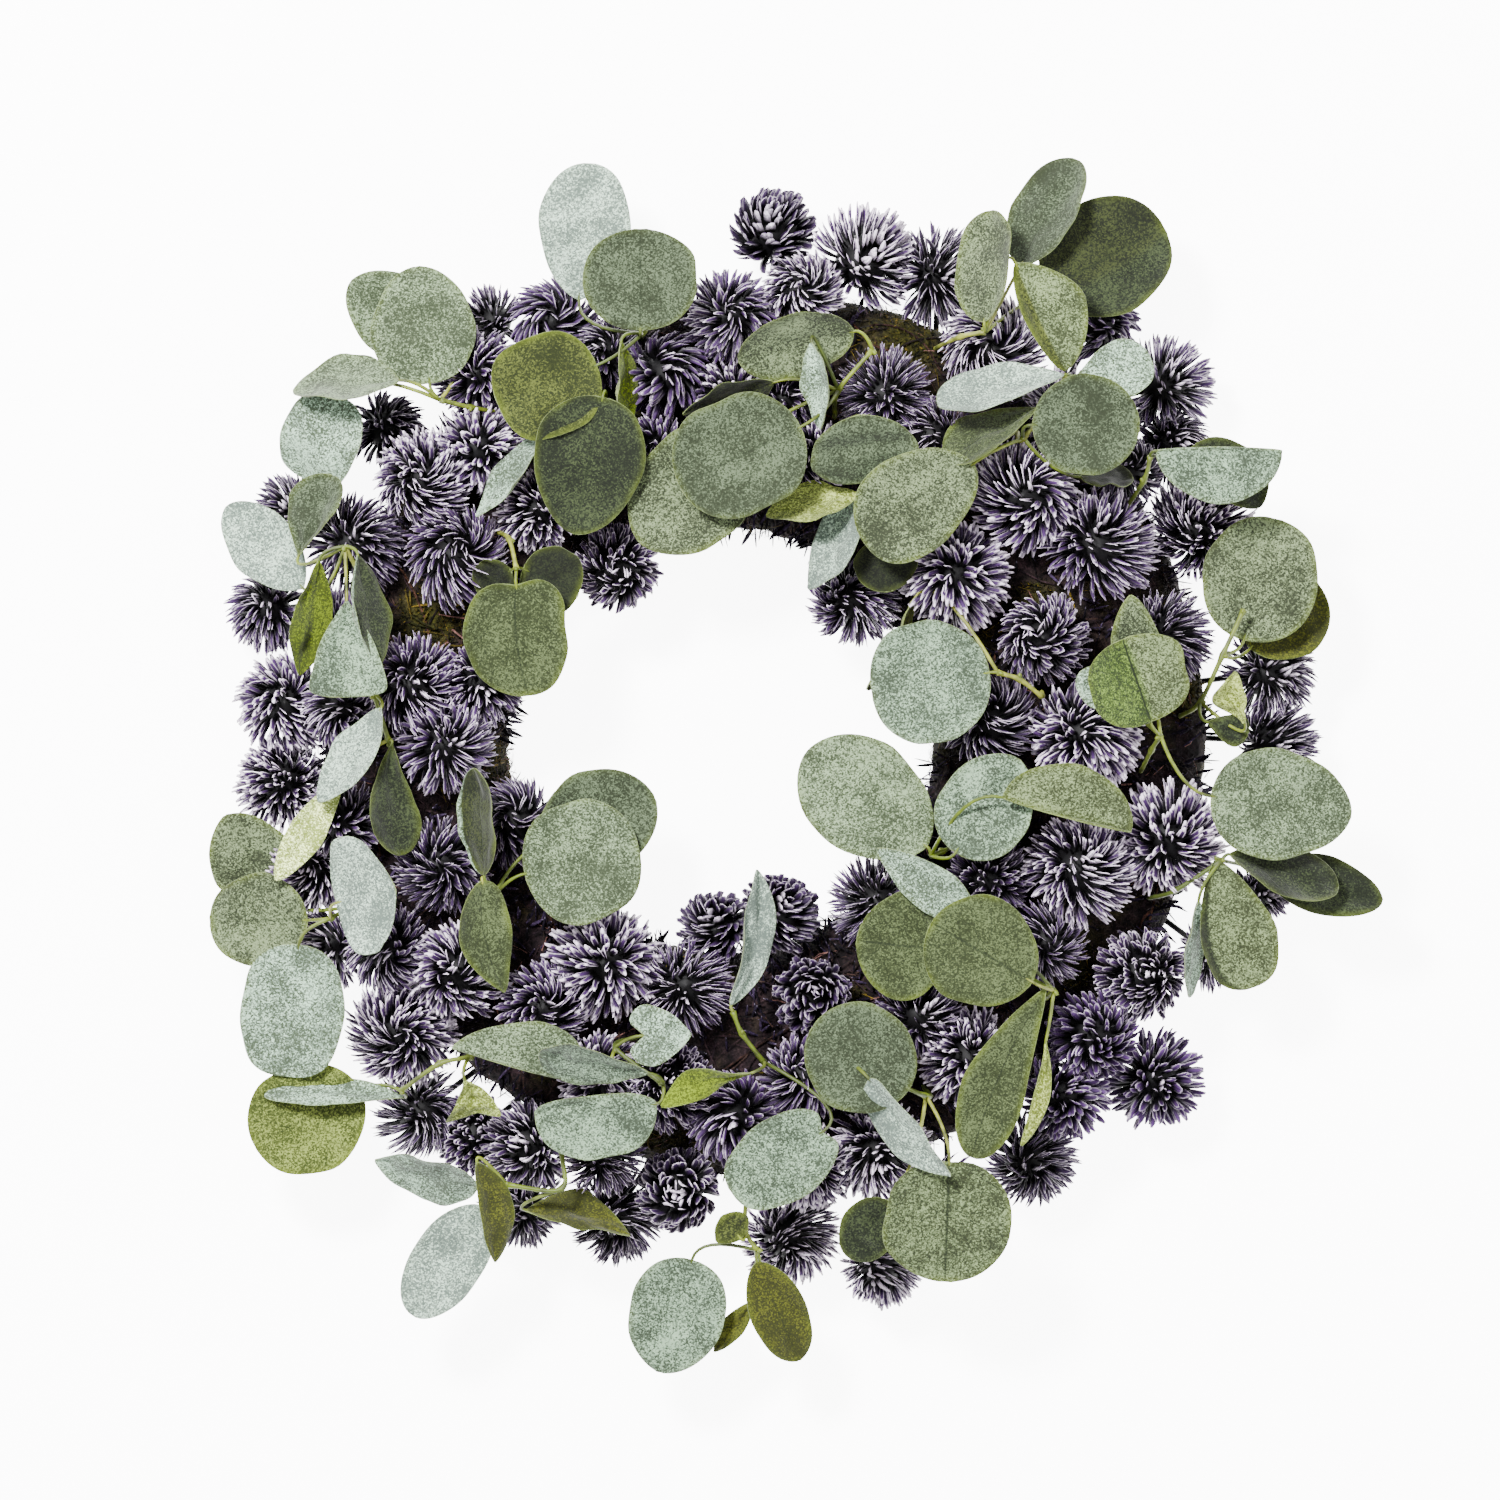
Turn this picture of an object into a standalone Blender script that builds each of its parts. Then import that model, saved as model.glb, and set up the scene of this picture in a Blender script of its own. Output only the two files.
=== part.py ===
"""A pinecone wreath, lying on its back with its front facing up.

A moss-covered ring form carries frosted cone heads in clusters, and sprays of
silver-dollar eucalyptus whose stems run down between the heads to the ring.
Metres, +Z up. The middle of the whole wreath is on the origin and z = 0 is the surface
that it lies on. Places in the layout tables are in the pixels of the front view, x to the
right and y down, with heights in millimetres.
"""

import math
import random

import bmesh
import bpy
import numpy as np
from mathutils import Matrix, Vector
from mathutils.bvhtree import BVHTree
from mathutils.geometry import closest_point_on_tri

MM = 0.001

# Front view: the real size of a pixel and the pixel that is the middle of the wreath.
PIXEL = 0.46 * MM
MIDDLE_X = 791.54
MIDDLE_Y = 767.21

# Ring form. Its hole is a little to the left of its outer edge, so the band is wider on the right.
RING_HEIGHT = 42 * MM
RING_INNER_RADIUS = 99.4 * MM
RING_OUTER_RADIUS = 204.7 * MM
RING_INNER_MIDDLE = (720.0, 740.0)
RING_OUTER_MIDDLE = (765.0, 735.0)
RING_WIDEST_HEIGHT = 0.38 * RING_HEIGHT
RING_ROUNDNESS = 2.6
RING_SEGMENTS = 36
RING_ARCH_POINTS = 7
MOSS_SWELL = 1.2 * MM

# Cone heads.
HEAD_LIFT = 20 * MM
SIDE_HEAD_HEIGHT = 26 * MM
SIDE_HEAD_TILT = 0.6
CORE_POINTS = 15
CORE_SIZE = 0.72
HEAD_STRETCH = 1.12
BRACT_REACH = 1.14
BRACT_LEAN = 0.5
BRACT_JITTER = 0.07
FOOT_REACH = 1.15
WIRE_RADIUS = 1.2 * MM
CLUSTERS = 34
LONGEST_WIRE = 66 * MM

# Eucalyptus.
STEM_RADIUS = 1.4 * MM
STALK_HALF_WIDTH = 1.0 * MM
STALK_THICKNESS = 1.8 * MM
BLADE_THICKNESS = 1.0 * MM
BLADE_ROWS = (0.13, 0.5, 0.86)
LONG_BLADE_ROWS = (0.1, 0.36, 0.66, 0.9)
LONG_BLADE = 55 * MM
STRAIGHT_STALK = 15 * MM
STEM_RISE = 16 * MM
UNION_SOLVER = "MANIFOLD"

# Gap between pieces that touch.
SEAT_GAP = 0.3 * MM

# Cone heads: x, y and radius in pixels.
HEADS = [
    (491, 318, 32), (553, 321, 42), (477, 372, 40), (384, 427, 36), (480, 449, 38), (425, 481, 46),
    (537, 509, 38), (454, 557, 48), (352, 545, 45), (288, 509, 34), (265, 608, 38), (335, 630, 36),
    (617, 567, 42), (607, 353, 32), (668, 375, 42), (773, 229, 42), (863, 258, 48), (802, 293, 38),
    (732, 318, 42), (939, 273, 45), (885, 395, 42), (786, 398, 32), (652, 452, 34), (548, 400, 38),
    (598, 462, 36), (728, 400, 34), (730, 470, 34), (812, 458, 34), (1066, 408, 38), (854, 598, 42),
    (956, 577, 48), (933, 436, 34), (995, 350, 50), (1103, 321, 36), (1167, 383, 44), (1175, 442, 38),
    (1023, 497, 50), (1100, 548, 50), (1205, 525, 50), (1043, 639, 44), (1129, 470, 32), (989, 722, 44),
    (1086, 735, 50), (990, 800, 36), (1162, 639, 45), (1271, 672, 44), (1278, 741, 40), (1169, 838, 50),
    (1079, 871, 50), (989, 878, 38), (1142, 976, 46), (1046, 943, 38), (965, 955, 36), (1212, 954, 34),
    (1261, 891, 32), (1094, 1036, 42), (1158, 1082, 44), (1066, 1096, 40), (1033, 1162, 42),
    (970, 1059, 45), (920, 1015, 38), (879, 903, 42), (879, 1151, 46), (950, 1195, 38), (882, 1268, 38),
    (604, 963, 50), (544, 1008, 42), (687, 985, 42), (716, 930, 38), (776, 918, 44), (812, 995, 42),
    (805, 1078, 40), (671, 1087, 44), (600, 1075, 38), (732, 1116, 42), (810, 1165, 40), (678, 1192, 44),
    (789, 1237, 46), (614, 1218, 44), (521, 1210, 38), (527, 1148, 44), (601, 1154, 38), (400, 1033, 50),
    (330, 944, 38), (387, 950, 40), (441, 866, 42), (460, 972, 44), (418, 1115, 42), (472, 1138, 40),
    (283, 703, 44), (341, 710, 36), (279, 783, 42), (413, 687, 46), (480, 684, 38), (445, 745, 44),
    (343, 820, 36), (308, 872, 38), (518, 824, 42),
]


def leaf(joint, base, tip, width, roll=0, arch=0.0, halves=(1.0, 1.0)):
    """One leaf: the stem joint that its stalk leaves, its two ends, its width and its turn.

    The ends are (x, y, height), and halves are the shares of the width on its two sides.
    """
    return dict(joint=joint, base=base, tip=tip, width=width, roll=roll, arch=arch, halves=halves)


# Sprays: the stem's foot on the ring, the stem's joints (x, y, height), and the leaves.
SPRAYS = [
    ((500, 412), [(472, 408, 66), (441, 401, 72)], [
        leaf(1, (425, 380, 62), (420, 268, 52), 108),
        leaf(1, (430, 370, 52), (388, 268, 42), 118),
        leaf(1, (400, 382, 76), (296, 388, 74), 90, roll=68),
        leaf(1, (364, 410, 66), (285, 468, 46), 88, roll=-15, arch=0.12),
    ]),
    ((641, 336), [(643, 335, 76)], [
        leaf(0, (582, 294, 62), (592, 164, 52), 94),
        leaf(0, (641, 330, 86), (641, 233, 90), 114),
        leaf(0, (598, 368, 88), (500, 408, 90), 106),
        leaf(0, (622, 345, 84), (621, 444, 78), 56, roll=76),
    ]),
    ((608, 408), [(607, 403, 76)], [
        leaf(0, (602, 408, 92), (574, 534, 90), 112),
        leaf(0, (539, 430, 80), (479, 515, 78), 56, roll=64),
    ]),
    ((835, 415), [(838, 392, 78), (872, 352, 80)], [
        leaf(1, (853, 334, 84), (738, 362, 88), 78, roll=38),
        leaf(0, (774, 384, 80), (683, 416, 78), 74, roll=55),
        leaf(0, (790, 425, 98), (680, 490, 96), 124),
        leaf(0, (736, 450, 86), (640, 544, 84), 116),
        leaf(0, (815, 350, 92), (816, 430, 94), 56, roll=-60),
    ]),
    ((905, 538), [(890, 520, 74), (872, 494, 80)], [
        leaf(1, (866, 484, 84), (860, 418, 98), 108),
        leaf(1, (858, 496, 78), (766, 517, 80), 66, roll=55),
        leaf(1, (860, 503, 78), (809, 590, 68), 72, roll=-55),
        leaf(0, (880, 538, 72), (890, 592, 70), 64),
    ]),
    ((938, 346), [(960, 338, 72), (984, 334, 78)], [
        leaf(1, (983, 324, 80), (990, 212, 70), 74, roll=42),
        leaf(1, (1020, 266, 62), (1077, 158, 52), 78, roll=35),
        leaf(1, (1046, 290, 56), (1165, 225, 48), 122),
        leaf(1, (1020, 298, 82), (1066, 371, 80), 74, roll=-35),
    ]),
    ((1018, 432), [(1022, 440, 82), (1066, 377, 84)], [
        leaf(1, (1074, 374, 80), (1150, 350, 76), 60, roll=20),
        leaf(1, (1058, 378, 90), (938, 407, 90), 68, roll=60),
        leaf(0, (1032, 428, 96), (1135, 428, 94), 100),
        leaf(0, (1012, 437, 86), (942, 462, 84), 66, roll=58),
        leaf(0, (1080, 478, 74), (1132, 480, 72), 50, roll=55),
        leaf(0, (968, 471, 94), (866, 545, 90), 104),
    ]),
    ((1122, 514), [(1142, 482, 78), (1148, 458, 84)], [
        leaf(1, (1153, 453, 88), (1279, 453, 84), 104, halves=(0.08, 1.0)),
        leaf(1, (1178, 462, 76), (1262, 505, 66), 88),
    ]),
    ((1183, 715), [(1200, 702, 62), (1222, 655, 66), (1243, 610, 66)], [
        leaf(1, (1246, 632, 58), (1273, 518, 52), 120),
        leaf(1, (1252, 642, 46), (1324, 572, 42), 104),
        leaf(0, (1206, 722, 70), (1247, 734, 68), 34),
        leaf(0, (1243, 724, 76), (1232, 672, 82), 36, roll=20),
    ]),
    ((1142, 770), [(1150, 750, 74), (1158, 736, 84)], [
        leaf(1, (1147, 722, 90), (1106, 640, 96), 94),
        leaf(1, (1150, 690, 84), (1128, 596, 86), 50),
        leaf(1, (1212, 768, 84), (1348, 815, 70), 112),
        leaf(1, (1120, 705, 82), (1077, 674, 78), 40),
    ]),
    ((1042, 692), [(1040, 696, 76), (1018, 680, 84), (996, 673, 86)], [
        leaf(2, (988, 673, 86), (871, 692, 78), 122),
        leaf(2, (912, 602, 68), (867, 690, 64), 44, roll=66),
    ]),
    ((950, 848), [(942, 851, 72), (930, 855, 78)], [
        leaf(1, (925, 847, 80), (808, 755, 68), 112),
        leaf(1, (948, 850, 86), (1010, 757, 86), 98),
        leaf(1, (1000, 797, 96), (1128, 831, 94), 100, halves=(1.0, 0.08)),
    ]),
    ((1152, 898), [(1175, 890, 66), (1220, 860, 74)], [
        leaf(1, (1236, 853, 74), (1335, 893, 68), 60, roll=38),
        leaf(1, (1242, 860, 62), (1380, 896, 56), 54, roll=15),
        leaf(1, (1223, 872, 74), (1245, 985, 60), 76),
        leaf(1, (1197, 902, 72), (1190, 997, 62), 44, roll=64),
    ]),
    ((1040, 1000), [(1045, 996, 74), (1052, 989, 82)], [
        leaf(1, (948, 950, 78), (858, 940, 72), 112),
        leaf(1, (1020, 975, 92), (923, 920, 88), 106),
        leaf(1, (1036, 1014, 86), (974, 1155, 84), 68),
        leaf(1, (1043, 1045, 82), (1006, 1150, 78), 48, roll=70),
        leaf(1, (972, 915, 86), (878, 850, 82), 62, roll=35),
    ]),
    ((924, 1088), [(925, 1094, 82), (852, 1062, 86)], [
        leaf(0, (906, 1082, 94), (820, 1028, 92), 104),
        leaf(1, (868, 1076, 98), (949, 1170, 98), 56, roll=50),
        leaf(0, (950, 1160, 88), (946, 1280, 80), 126),
        leaf(0, (893, 1202, 76), (850, 1256, 70), 56),
    ]),
    ((757, 1055), [(764, 1061, 74), (742, 1032, 82), (733, 1010, 84)], [
        leaf(2, (731, 1004, 84), (757, 869, 76), 48, roll=50),
        leaf(0, (745, 1068, 84), (665, 1104, 84), 54, roll=55),
        leaf(0, (818, 1130, 90), (738, 1185, 88), 94),
    ]),
    ((754, 1152), [(748, 1188, 62), (745, 1228, 62), (757, 1250, 62)], [
        leaf(2, (708, 1276, 58), (650, 1371, 50), 102),
        leaf(2, (766, 1265, 60), (801, 1360, 52), 62),
        leaf(2, (748, 1304, 48), (713, 1353, 46), 24),
        leaf(1, (741, 1238, 68), (722, 1215, 68), 40),
    ]),
    ((636, 1038), [(616, 1046, 80), (664, 1082, 86)], [
        leaf(1, (652, 1098, 90), (537, 1118, 86), 68, roll=25),
        leaf(1, (650, 1070, 98), (541, 1051, 96), 62, roll=55),
        leaf(0, (585, 1080, 88), (454, 1046, 86), 96, halves=(0.08, 1.0)),
        leaf(0, (638, 1035, 90), (694, 1030, 90), 58),
    ]),
    ((565, 1103), [(562, 1150, 66), (562, 1188, 70), (508, 1184, 70)], [
        leaf(1, (563, 1202, 68), (592, 1243, 36), 104),
        leaf(2, (504, 1190, 76), (495, 1261, 68), 54, roll=52),
        leaf(2, (478, 1186, 68), (375, 1160, 62), 72, roll=50),
        leaf(2, (484, 1206, 66), (412, 1316, 56), 72),
    ]),
    ((488, 1048), [(470, 1056, 70), (440, 1063, 74), (402, 1090, 70)], [
        leaf(2, (368, 1093, 58), (262, 1150, 50), 114),
        leaf(2, (394, 1092, 72), (266, 1096, 68), 58, roll=64),
        leaf(0, (466, 1078, 80), (478, 1112, 70), 60),
    ]),
    ((374, 898), [(352, 906, 54), (332, 918, 72)], [
        leaf(1, (306, 946, 70), (292, 1076, 58), 102),
        leaf(1, (308, 918, 64), (211, 915, 54), 94),
        leaf(0, (268, 890, 38), (222, 816, 40), 84),
        leaf(1, (337, 907, 82), (397, 892, 100), 122),
    ]),
    ((497, 905), [(494, 897, 76)], [
        leaf(0, (526, 879, 84), (638, 852, 74), 124),
        leaf(0, (540, 845, 70), (655, 800, 60), 106),
        leaf(0, (487, 890, 86), (502, 990, 82), 60, roll=30),
        leaf(0, (481, 877, 86), (471, 770, 86), 62, roll=52),
    ]),
    ((388, 745), [(390, 740, 78), (376, 694, 84)], [
        leaf(1, (383, 709, 88), (322, 800, 84), 62, roll=50),
        leaf(0, (336, 788, 76), (280, 879, 70), 58, roll=50),
        leaf(0, (397, 756, 80), (396, 855, 78), 62, roll=42),
    ]),
    ((380, 620), [(366, 585, 76), (348, 548, 88)], [
        leaf(1, (322, 562, 86), (302, 676, 80), 58, roll=50),
        leaf(1, (361, 556, 92), (381, 670, 92), 58, roll=58),
        leaf(1, (350, 602, 90), (352, 698, 96), 70),
        leaf(1, (303, 575, 62), (228, 508, 52), 76),
        leaf(1, (302, 552, 72), (332, 478, 68), 60, roll=40),
    ]),
    ((497, 532), [(510, 540, 76), (518, 570, 84)], [
        leaf(1, (517, 580, 86), (530, 696, 78), 102),
        leaf(1, (524, 570, 78), (580, 592, 74), 68),
        leaf(1, (512, 571, 76), (477, 590, 72), 44),
    ]),
]


def at(x, y, height):
    """A place in the front view as a world point."""
    return Vector(((x - MIDDLE_X) * PIXEL, (MIDDLE_Y - y) * PIXEL, height))


def clear_scene():
    for thing in list(bpy.data.objects):
        bpy.data.objects.remove(thing, do_unlink=True)


def make_material(name, colour, roughness):
    material = bpy.data.materials.new(name)
    material.use_nodes = True
    shader = material.node_tree.nodes["Principled BSDF"]
    shader.inputs["Base Color"].default_value = (*colour, 1.0)
    shader.inputs["Roughness"].default_value = roughness
    shader.inputs["Metallic"].default_value = 0.0
    return material


def add_object(name, vertices, faces, material, place):
    """A named object at its own place, with its mesh given in world points."""
    mesh = bpy.data.meshes.new(name)
    mesh.from_pydata([Vector(vertex) - place for vertex in vertices], [], faces)
    mesh.materials.append(material)
    thing = bpy.data.objects.new(name, mesh)
    thing.location = place
    bpy.context.scene.collection.objects.link(thing)
    return thing


def ring_band(angle):
    """The middle of the ring's band at an angle, and the vector from there to its outer edge."""
    outward = Vector((math.cos(angle), math.sin(angle), 0.0))
    inner = at(*RING_INNER_MIDDLE, 0.0) + RING_INNER_RADIUS * outward
    outer = at(*RING_OUTER_MIDDLE, 0.0) + RING_OUTER_RADIUS * outward
    return (inner + outer) / 2, (outer - inner) / 2


def ring_arch(turn):
    """The ring's rounded section above its widest height: share of the half width, and height."""
    power = 2 / RING_ROUNDNESS
    across = math.copysign(abs(math.cos(turn)) ** power, math.cos(turn))
    rise = abs(math.sin(turn)) ** power * (RING_HEIGHT - RING_WIDEST_HEIGHT)
    return across, RING_WIDEST_HEIGHT + rise


def ring_section():
    """The ring's whole section: a flat back with eased corners under the arch."""
    arch = [ring_arch(math.pi * step / (RING_ARCH_POINTS - 1)) for step in range(RING_ARCH_POINTS)]
    left = [(-0.96, 0.12 * RING_HEIGHT), (-0.84, 0.0)]
    right = [(0.84, 0.0), (0.96, 0.12 * RING_HEIGHT)]
    return arch + left + right


def build_ring(material):
    """The ring form, with its mossy top swelling and sinking a little."""
    section = ring_section()
    count = len(section)
    vertices = []
    for step in range(RING_SEGMENTS):
        angle = 2 * math.pi * step / RING_SEGMENTS
        middle, half = ring_band(angle)
        for across, height in section:
            swell = MOSS_SWELL * math.sin(5 * angle + 4 * across) * math.cos(3 * angle - 2 * across)
            lift = swell if height > RING_WIDEST_HEIGHT else 0.0
            vertices.append(middle + half * across + Vector((0, 0, height + lift)))
    faces = []
    for step in range(RING_SEGMENTS):
        here, there = step * count, (step + 1) % RING_SEGMENTS * count
        for k in range(count):
            following = (k + 1) % count
            a, b, c, d = here + k, here + following, there + following, there + k
            faces += [(a, c, b), (a, d, c)]
    place = at(*RING_OUTER_MIDDLE, 0.0)
    return add_object("moss_ring_form", vertices, faces, material, place)


def head_place(x, y):
    """A head's middle over the ring, and the point of the ring under it."""
    point = at(x, y, 0.0)
    centre = (at(*RING_INNER_MIDDLE, 0.0) + at(*RING_OUTER_MIDDLE, 0.0)) / 2
    angle = math.atan2(point.y - centre.y, point.x - centre.x)
    middle, half = ring_band(angle)
    width = half.length
    across = (point - middle).dot(half) / width
    best = None
    for step in range(181):
        share, height = ring_arch(math.radians(step))
        later, later_height = ring_arch(math.radians(min(step + 1, 180)))
        earlier, earlier_height = ring_arch(math.radians(max(step - 1, 0)))
        run, rise = (later - earlier) * width, later_height - earlier_height
        size = math.hypot(run, rise)
        lean, up = rise / size, -run / size
        miss = abs(share * width + HEAD_LIFT * lean - across)
        if best is None or miss < best[0]:
            best = (miss, share, height, up)
    _, share, height, up = best
    lifted = max(height + HEAD_LIFT * up, SIDE_HEAD_HEIGHT)
    return Vector((point.x, point.y, lifted)), middle + half * share + Vector((0, 0, height))


def head_axis(centre, seat):
    """The way a head points: off the ring, and a little more upright at the sides."""
    axis = (centre - seat).normalized() + Vector((0, 0, SIDE_HEAD_TILT))
    return axis.normalized()


def core_pattern():
    """The core's corners spread evenly over a unit ball, and its faces, with one face at the foot."""
    golden = math.pi * (3 - math.sqrt(5))
    mesh = bmesh.new()
    for step in range(CORE_POINTS):
        height = 1 - (2 * step + 1) / CORE_POINTS
        reach = math.sqrt(1 - height * height)
        mesh.verts.new((reach * math.cos(golden * step), reach * math.sin(golden * step), height))
    bmesh.ops.convex_hull(mesh, input=mesh.verts)
    mesh.normal_update()
    foot = min(mesh.faces, key=lambda face: face.calc_center_median().normalized().z)
    turn = foot.calc_center_median().rotation_difference(Vector((0, 0, -1))).to_matrix()
    corners = np.array([turn @ vertex.co for vertex in mesh.verts])
    faces = np.array([[vertex.index for vertex in face.verts] for face in mesh.faces])
    outward = np.array([turn @ face.normal for face in mesh.faces])
    for row, face in enumerate(faces):
        a, b, c = corners[face]
        if np.dot(np.cross(b - a, c - a), outward[row]) < 0:
            faces[row] = face[::-1]
    mesh.free()
    return corners, faces


def face_margins(directions, corners, faces):
    """The face that each direction leaves through, and how far inside that face it is."""
    least = None
    for k in range(3):
        side = np.cross(corners[faces[:, k]], corners[faces[:, (k + 1) % 3]])
        side /= np.linalg.norm(side, axis=1, keepdims=True)
        margin = directions @ side.T
        least = margin if least is None else np.minimum(least, margin)
    return least.argmax(axis=1), least.max(axis=1)


def turn_core(axis, wanted, corners, faces):
    """Turns the core about its axis, and tilts it a little, until each wanted way is well in a face."""
    stretched = corners * (1, 1, HEAD_STRETCH)
    upright = Vector((0, 0, 1)).rotation_difference(axis).to_matrix()
    best = None
    for tilt, side in [(0, 0)] + [(tilt, side) for tilt in (8, 16, 24) for side in range(0, 360, 45)]:
        lean = Matrix.Rotation(math.radians(side), 3, "Z") @ Matrix.Rotation(math.radians(tilt), 3, "X")
        for spin in range(0, 360, 8):
            turned = upright @ lean @ Matrix.Rotation(math.radians(spin), 3, "Z")
            placed = stretched @ np.array(turned).T
            chosen, margin = face_margins(wanted, placed, faces)
            if len(set(chosen)) < len(chosen):
                continue
            score = min(margin[0] + 0.08, margin[1:].min(initial=1.0)) - 0.001 * tilt
            if best is None or score > best[0]:
                best = (score, placed, chosen)
    return best


def planes_to(centre, triangles, reach):
    """Planes that part a head's middle from each nearby triangle: their normals and distances."""
    planes = []
    gaps = np.linalg.norm(triangles.mean(axis=1) - centre, axis=1)
    for a, b, c in triangles[gaps < reach + 30 * MM]:
        offset = closest_point_on_tri(centre, Vector(a), Vector(b), Vector(c)) - centre
        if offset.length < reach:
            planes.append((offset.normalized(), offset.length - SEAT_GAP))
    return planes


def plane_to_wire(centre, start, end):
    """The plane that parts a head's middle from a wire between two other heads."""
    along = end - start
    share = min(max((centre - start).dot(along) / along.length_squared, 0.0), 1.0)
    offset = start + share * along - centre
    return offset.normalized(), offset.length - 1.5 * WIRE_RADIUS - SEAT_GAP


def farthest(directions, planes):
    """How far each direction goes before the first of the planes."""
    normals = np.array([plane[0] for plane in planes])
    distances = np.array([plane[1] for plane in planes])
    along = directions @ normals.T
    with np.errstate(divide="ignore", invalid="ignore"):
        limits = np.where(along > 1e-6, distances / along, np.inf)
    return limits.min(axis=1)


def plan_heads():
    """Every head's middle, size, seat on the ring and axis."""
    heads = []
    for x, y, radius in HEADS:
        centre, seat = head_place(x, y)
        axis = head_axis(centre, seat)
        heads.append({"centre": centre, "size": radius * PIXEL, "seat": seat, "axis": axis, "wires": []})
    return heads


def wire_is_clear(first, second, heads, tree):
    """Whether a wire between two heads passes well clear of other heads, sprays and the ring."""
    start, end = heads[first]["centre"], heads[second]["centre"]
    length = (end - start).length
    for number, head in enumerate(heads):
        if number in (first, second):
            continue
        _, distance = plane_to_wire(head["centre"], start, end)
        if distance < 0.45 * head["size"]:
            return False
    for step in range(9):
        point = start.lerp(end, step / 8)
        _, _, _, gap = tree.find_nearest(point)
        if gap < 3 * WIRE_RADIUS:
            return False
    return length < LONGEST_WIRE


def wires_cross(heads, first, second, wires):
    """Whether a wire between two heads passes close to one that's already there."""
    start, end = heads[first]["centre"], heads[second]["centre"]
    for other_first, other_second in wires:
        if {first, second} & {other_first, other_second}:
            continue
        other_start, other_end = heads[other_first]["centre"], heads[other_second]["centre"]
        for step in range(25):
            point = start.lerp(end, step / 24)
            _, gap = plane_to_wire(point, other_start, other_end)
            if gap < 2 * WIRE_RADIUS:
                return True
    return False


def wire_clusters(heads, tree):
    """Wires neighbouring heads together, the smallest clusters first, until few enough are left."""
    pairs = []
    for first in range(len(heads)):
        for second in range(first + 1, len(heads)):
            if wire_is_clear(first, second, heads, tree):
                length = (heads[first]["centre"] - heads[second]["centre"]).length
                pairs.append((length, first, second))
    cluster = list(range(len(heads)))
    wires = []
    while len(set(cluster)) > CLUSTERS:
        ranked = []
        for length, first, second in pairs:
            crowded = max(len(heads[first]["wires"]), len(heads[second]["wires"])) > 1
            if crowded or cluster[first] == cluster[second]:
                continue
            if not wires_cross(heads, first, second, wires):
                size = cluster.count(cluster[first]) + cluster.count(cluster[second])
                ranked.append((size, length, first, second))
        _, _, first, second = min(ranked)
        heads[first]["wires"].append(second)
        heads[second]["wires"].append(first)
        wires.append((first, second))
        old, new = cluster[second], cluster[first]
        cluster = [new if name == old else name for name in cluster]
    return cluster, wires


def head_planes(number, heads, wires, triangles):
    """All the planes that a head stays inside."""
    head = heads[number]
    centre, size = head["centre"], head["size"]
    seat_reach = FOOT_REACH * (head["seat"] - centre).length
    planes = planes_to(centre, triangles, max(1.6 * size, seat_reach))
    planes.append((Vector((0, 0, -1)), centre.z - SEAT_GAP))
    for other, neighbour in enumerate(heads):
        offset = neighbour["centre"] - centre
        if other != number and offset.length < 100 * MM:
            share = size / (size + neighbour["size"])
            planes.append((offset.normalized(), offset.length * share - SEAT_GAP / 2))
    for first, second in wires:
        if number not in (first, second):
            planes.append(plane_to_wire(centre, heads[first]["centre"], heads[second]["centre"]))
    return planes


def raise_head(number, heads, wires, triangles, pattern, chance):
    """One head: a faceted core with a leaning bract raised from each face, kept inside its planes."""
    head = heads[number]
    centre, size, axis = head["centre"], head["size"], np.array(head["axis"])
    down = (head["seat"] - centre).normalized()
    ways = [down] + [(heads[other]["centre"] - centre).normalized() for other in head["wires"]]
    corners, faces = pattern
    _, placed, chosen = turn_core(head["axis"], np.array(ways), corners, faces)
    planes = head_planes(number, heads, wires, triangles)
    lengths = np.linalg.norm(placed, axis=1)
    limits = farthest(placed / lengths[:, None], planes)
    core = placed * np.minimum(CORE_SIZE * size, 0.8 * limits / lengths)[:, None]
    points = [centre + Vector(corner) for corner in core]
    triangles = []
    head["ports"] = {other: tuple(faces[face]) for other, face in zip(head["wires"], chosen[1:])}
    for row, face in enumerate(faces):
        if row in chosen[1:]:
            continue
        weights = np.full(3, (1 - BRACT_LEAN) / 2)
        weights[np.argmax(placed[face] @ axis)] = BRACT_LEAN
        way = np.array(down) if row == chosen[0] else weights @ placed[face]
        way = way / np.linalg.norm(way)
        reach = BRACT_REACH * size * (1 + (HEAD_STRETCH - 1) * (way @ axis) ** 2)
        reach *= 1 + chance.uniform(-BRACT_JITTER, BRACT_JITTER)
        if row == chosen[0]:
            reach = FOOT_REACH * (head["seat"] - centre).length
        reach = min(reach, farthest(way[None], planes)[0])
        points.append(centre + Vector(way * reach))
        apex = len(points) - 1
        triangles += [(face[k], face[(k + 1) % 3], apex) for k in range(3)]
    return points, triangles


def wire_end(points, face, start, along, offsets):
    """Where the wire's three edges meet a face of the core."""
    a, b, c = (points[k] for k in face)
    normal = (b - a).cross(c - a)
    met = []
    for offset in offsets:
        origin = start + offset
        met.append(origin + along * ((a - origin).dot(normal) / along.dot(normal)))
    return met


def collar(face, met, points):
    """Triangles between a core face and the wire's section on it, both turning the same way."""
    spans = [sum((points[face[k]] - points[met[(k + m) % 3]]).length for k in range(3)) for m in range(3)]
    shift = spans.index(min(spans))
    triangles = []
    for k in range(3):
        inner, following = met[(k + shift) % 3], met[(k + 1 + shift) % 3]
        triangles += [(face[k], face[(k + 1) % 3], following), (face[k], following, inner)]
    return triangles


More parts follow.
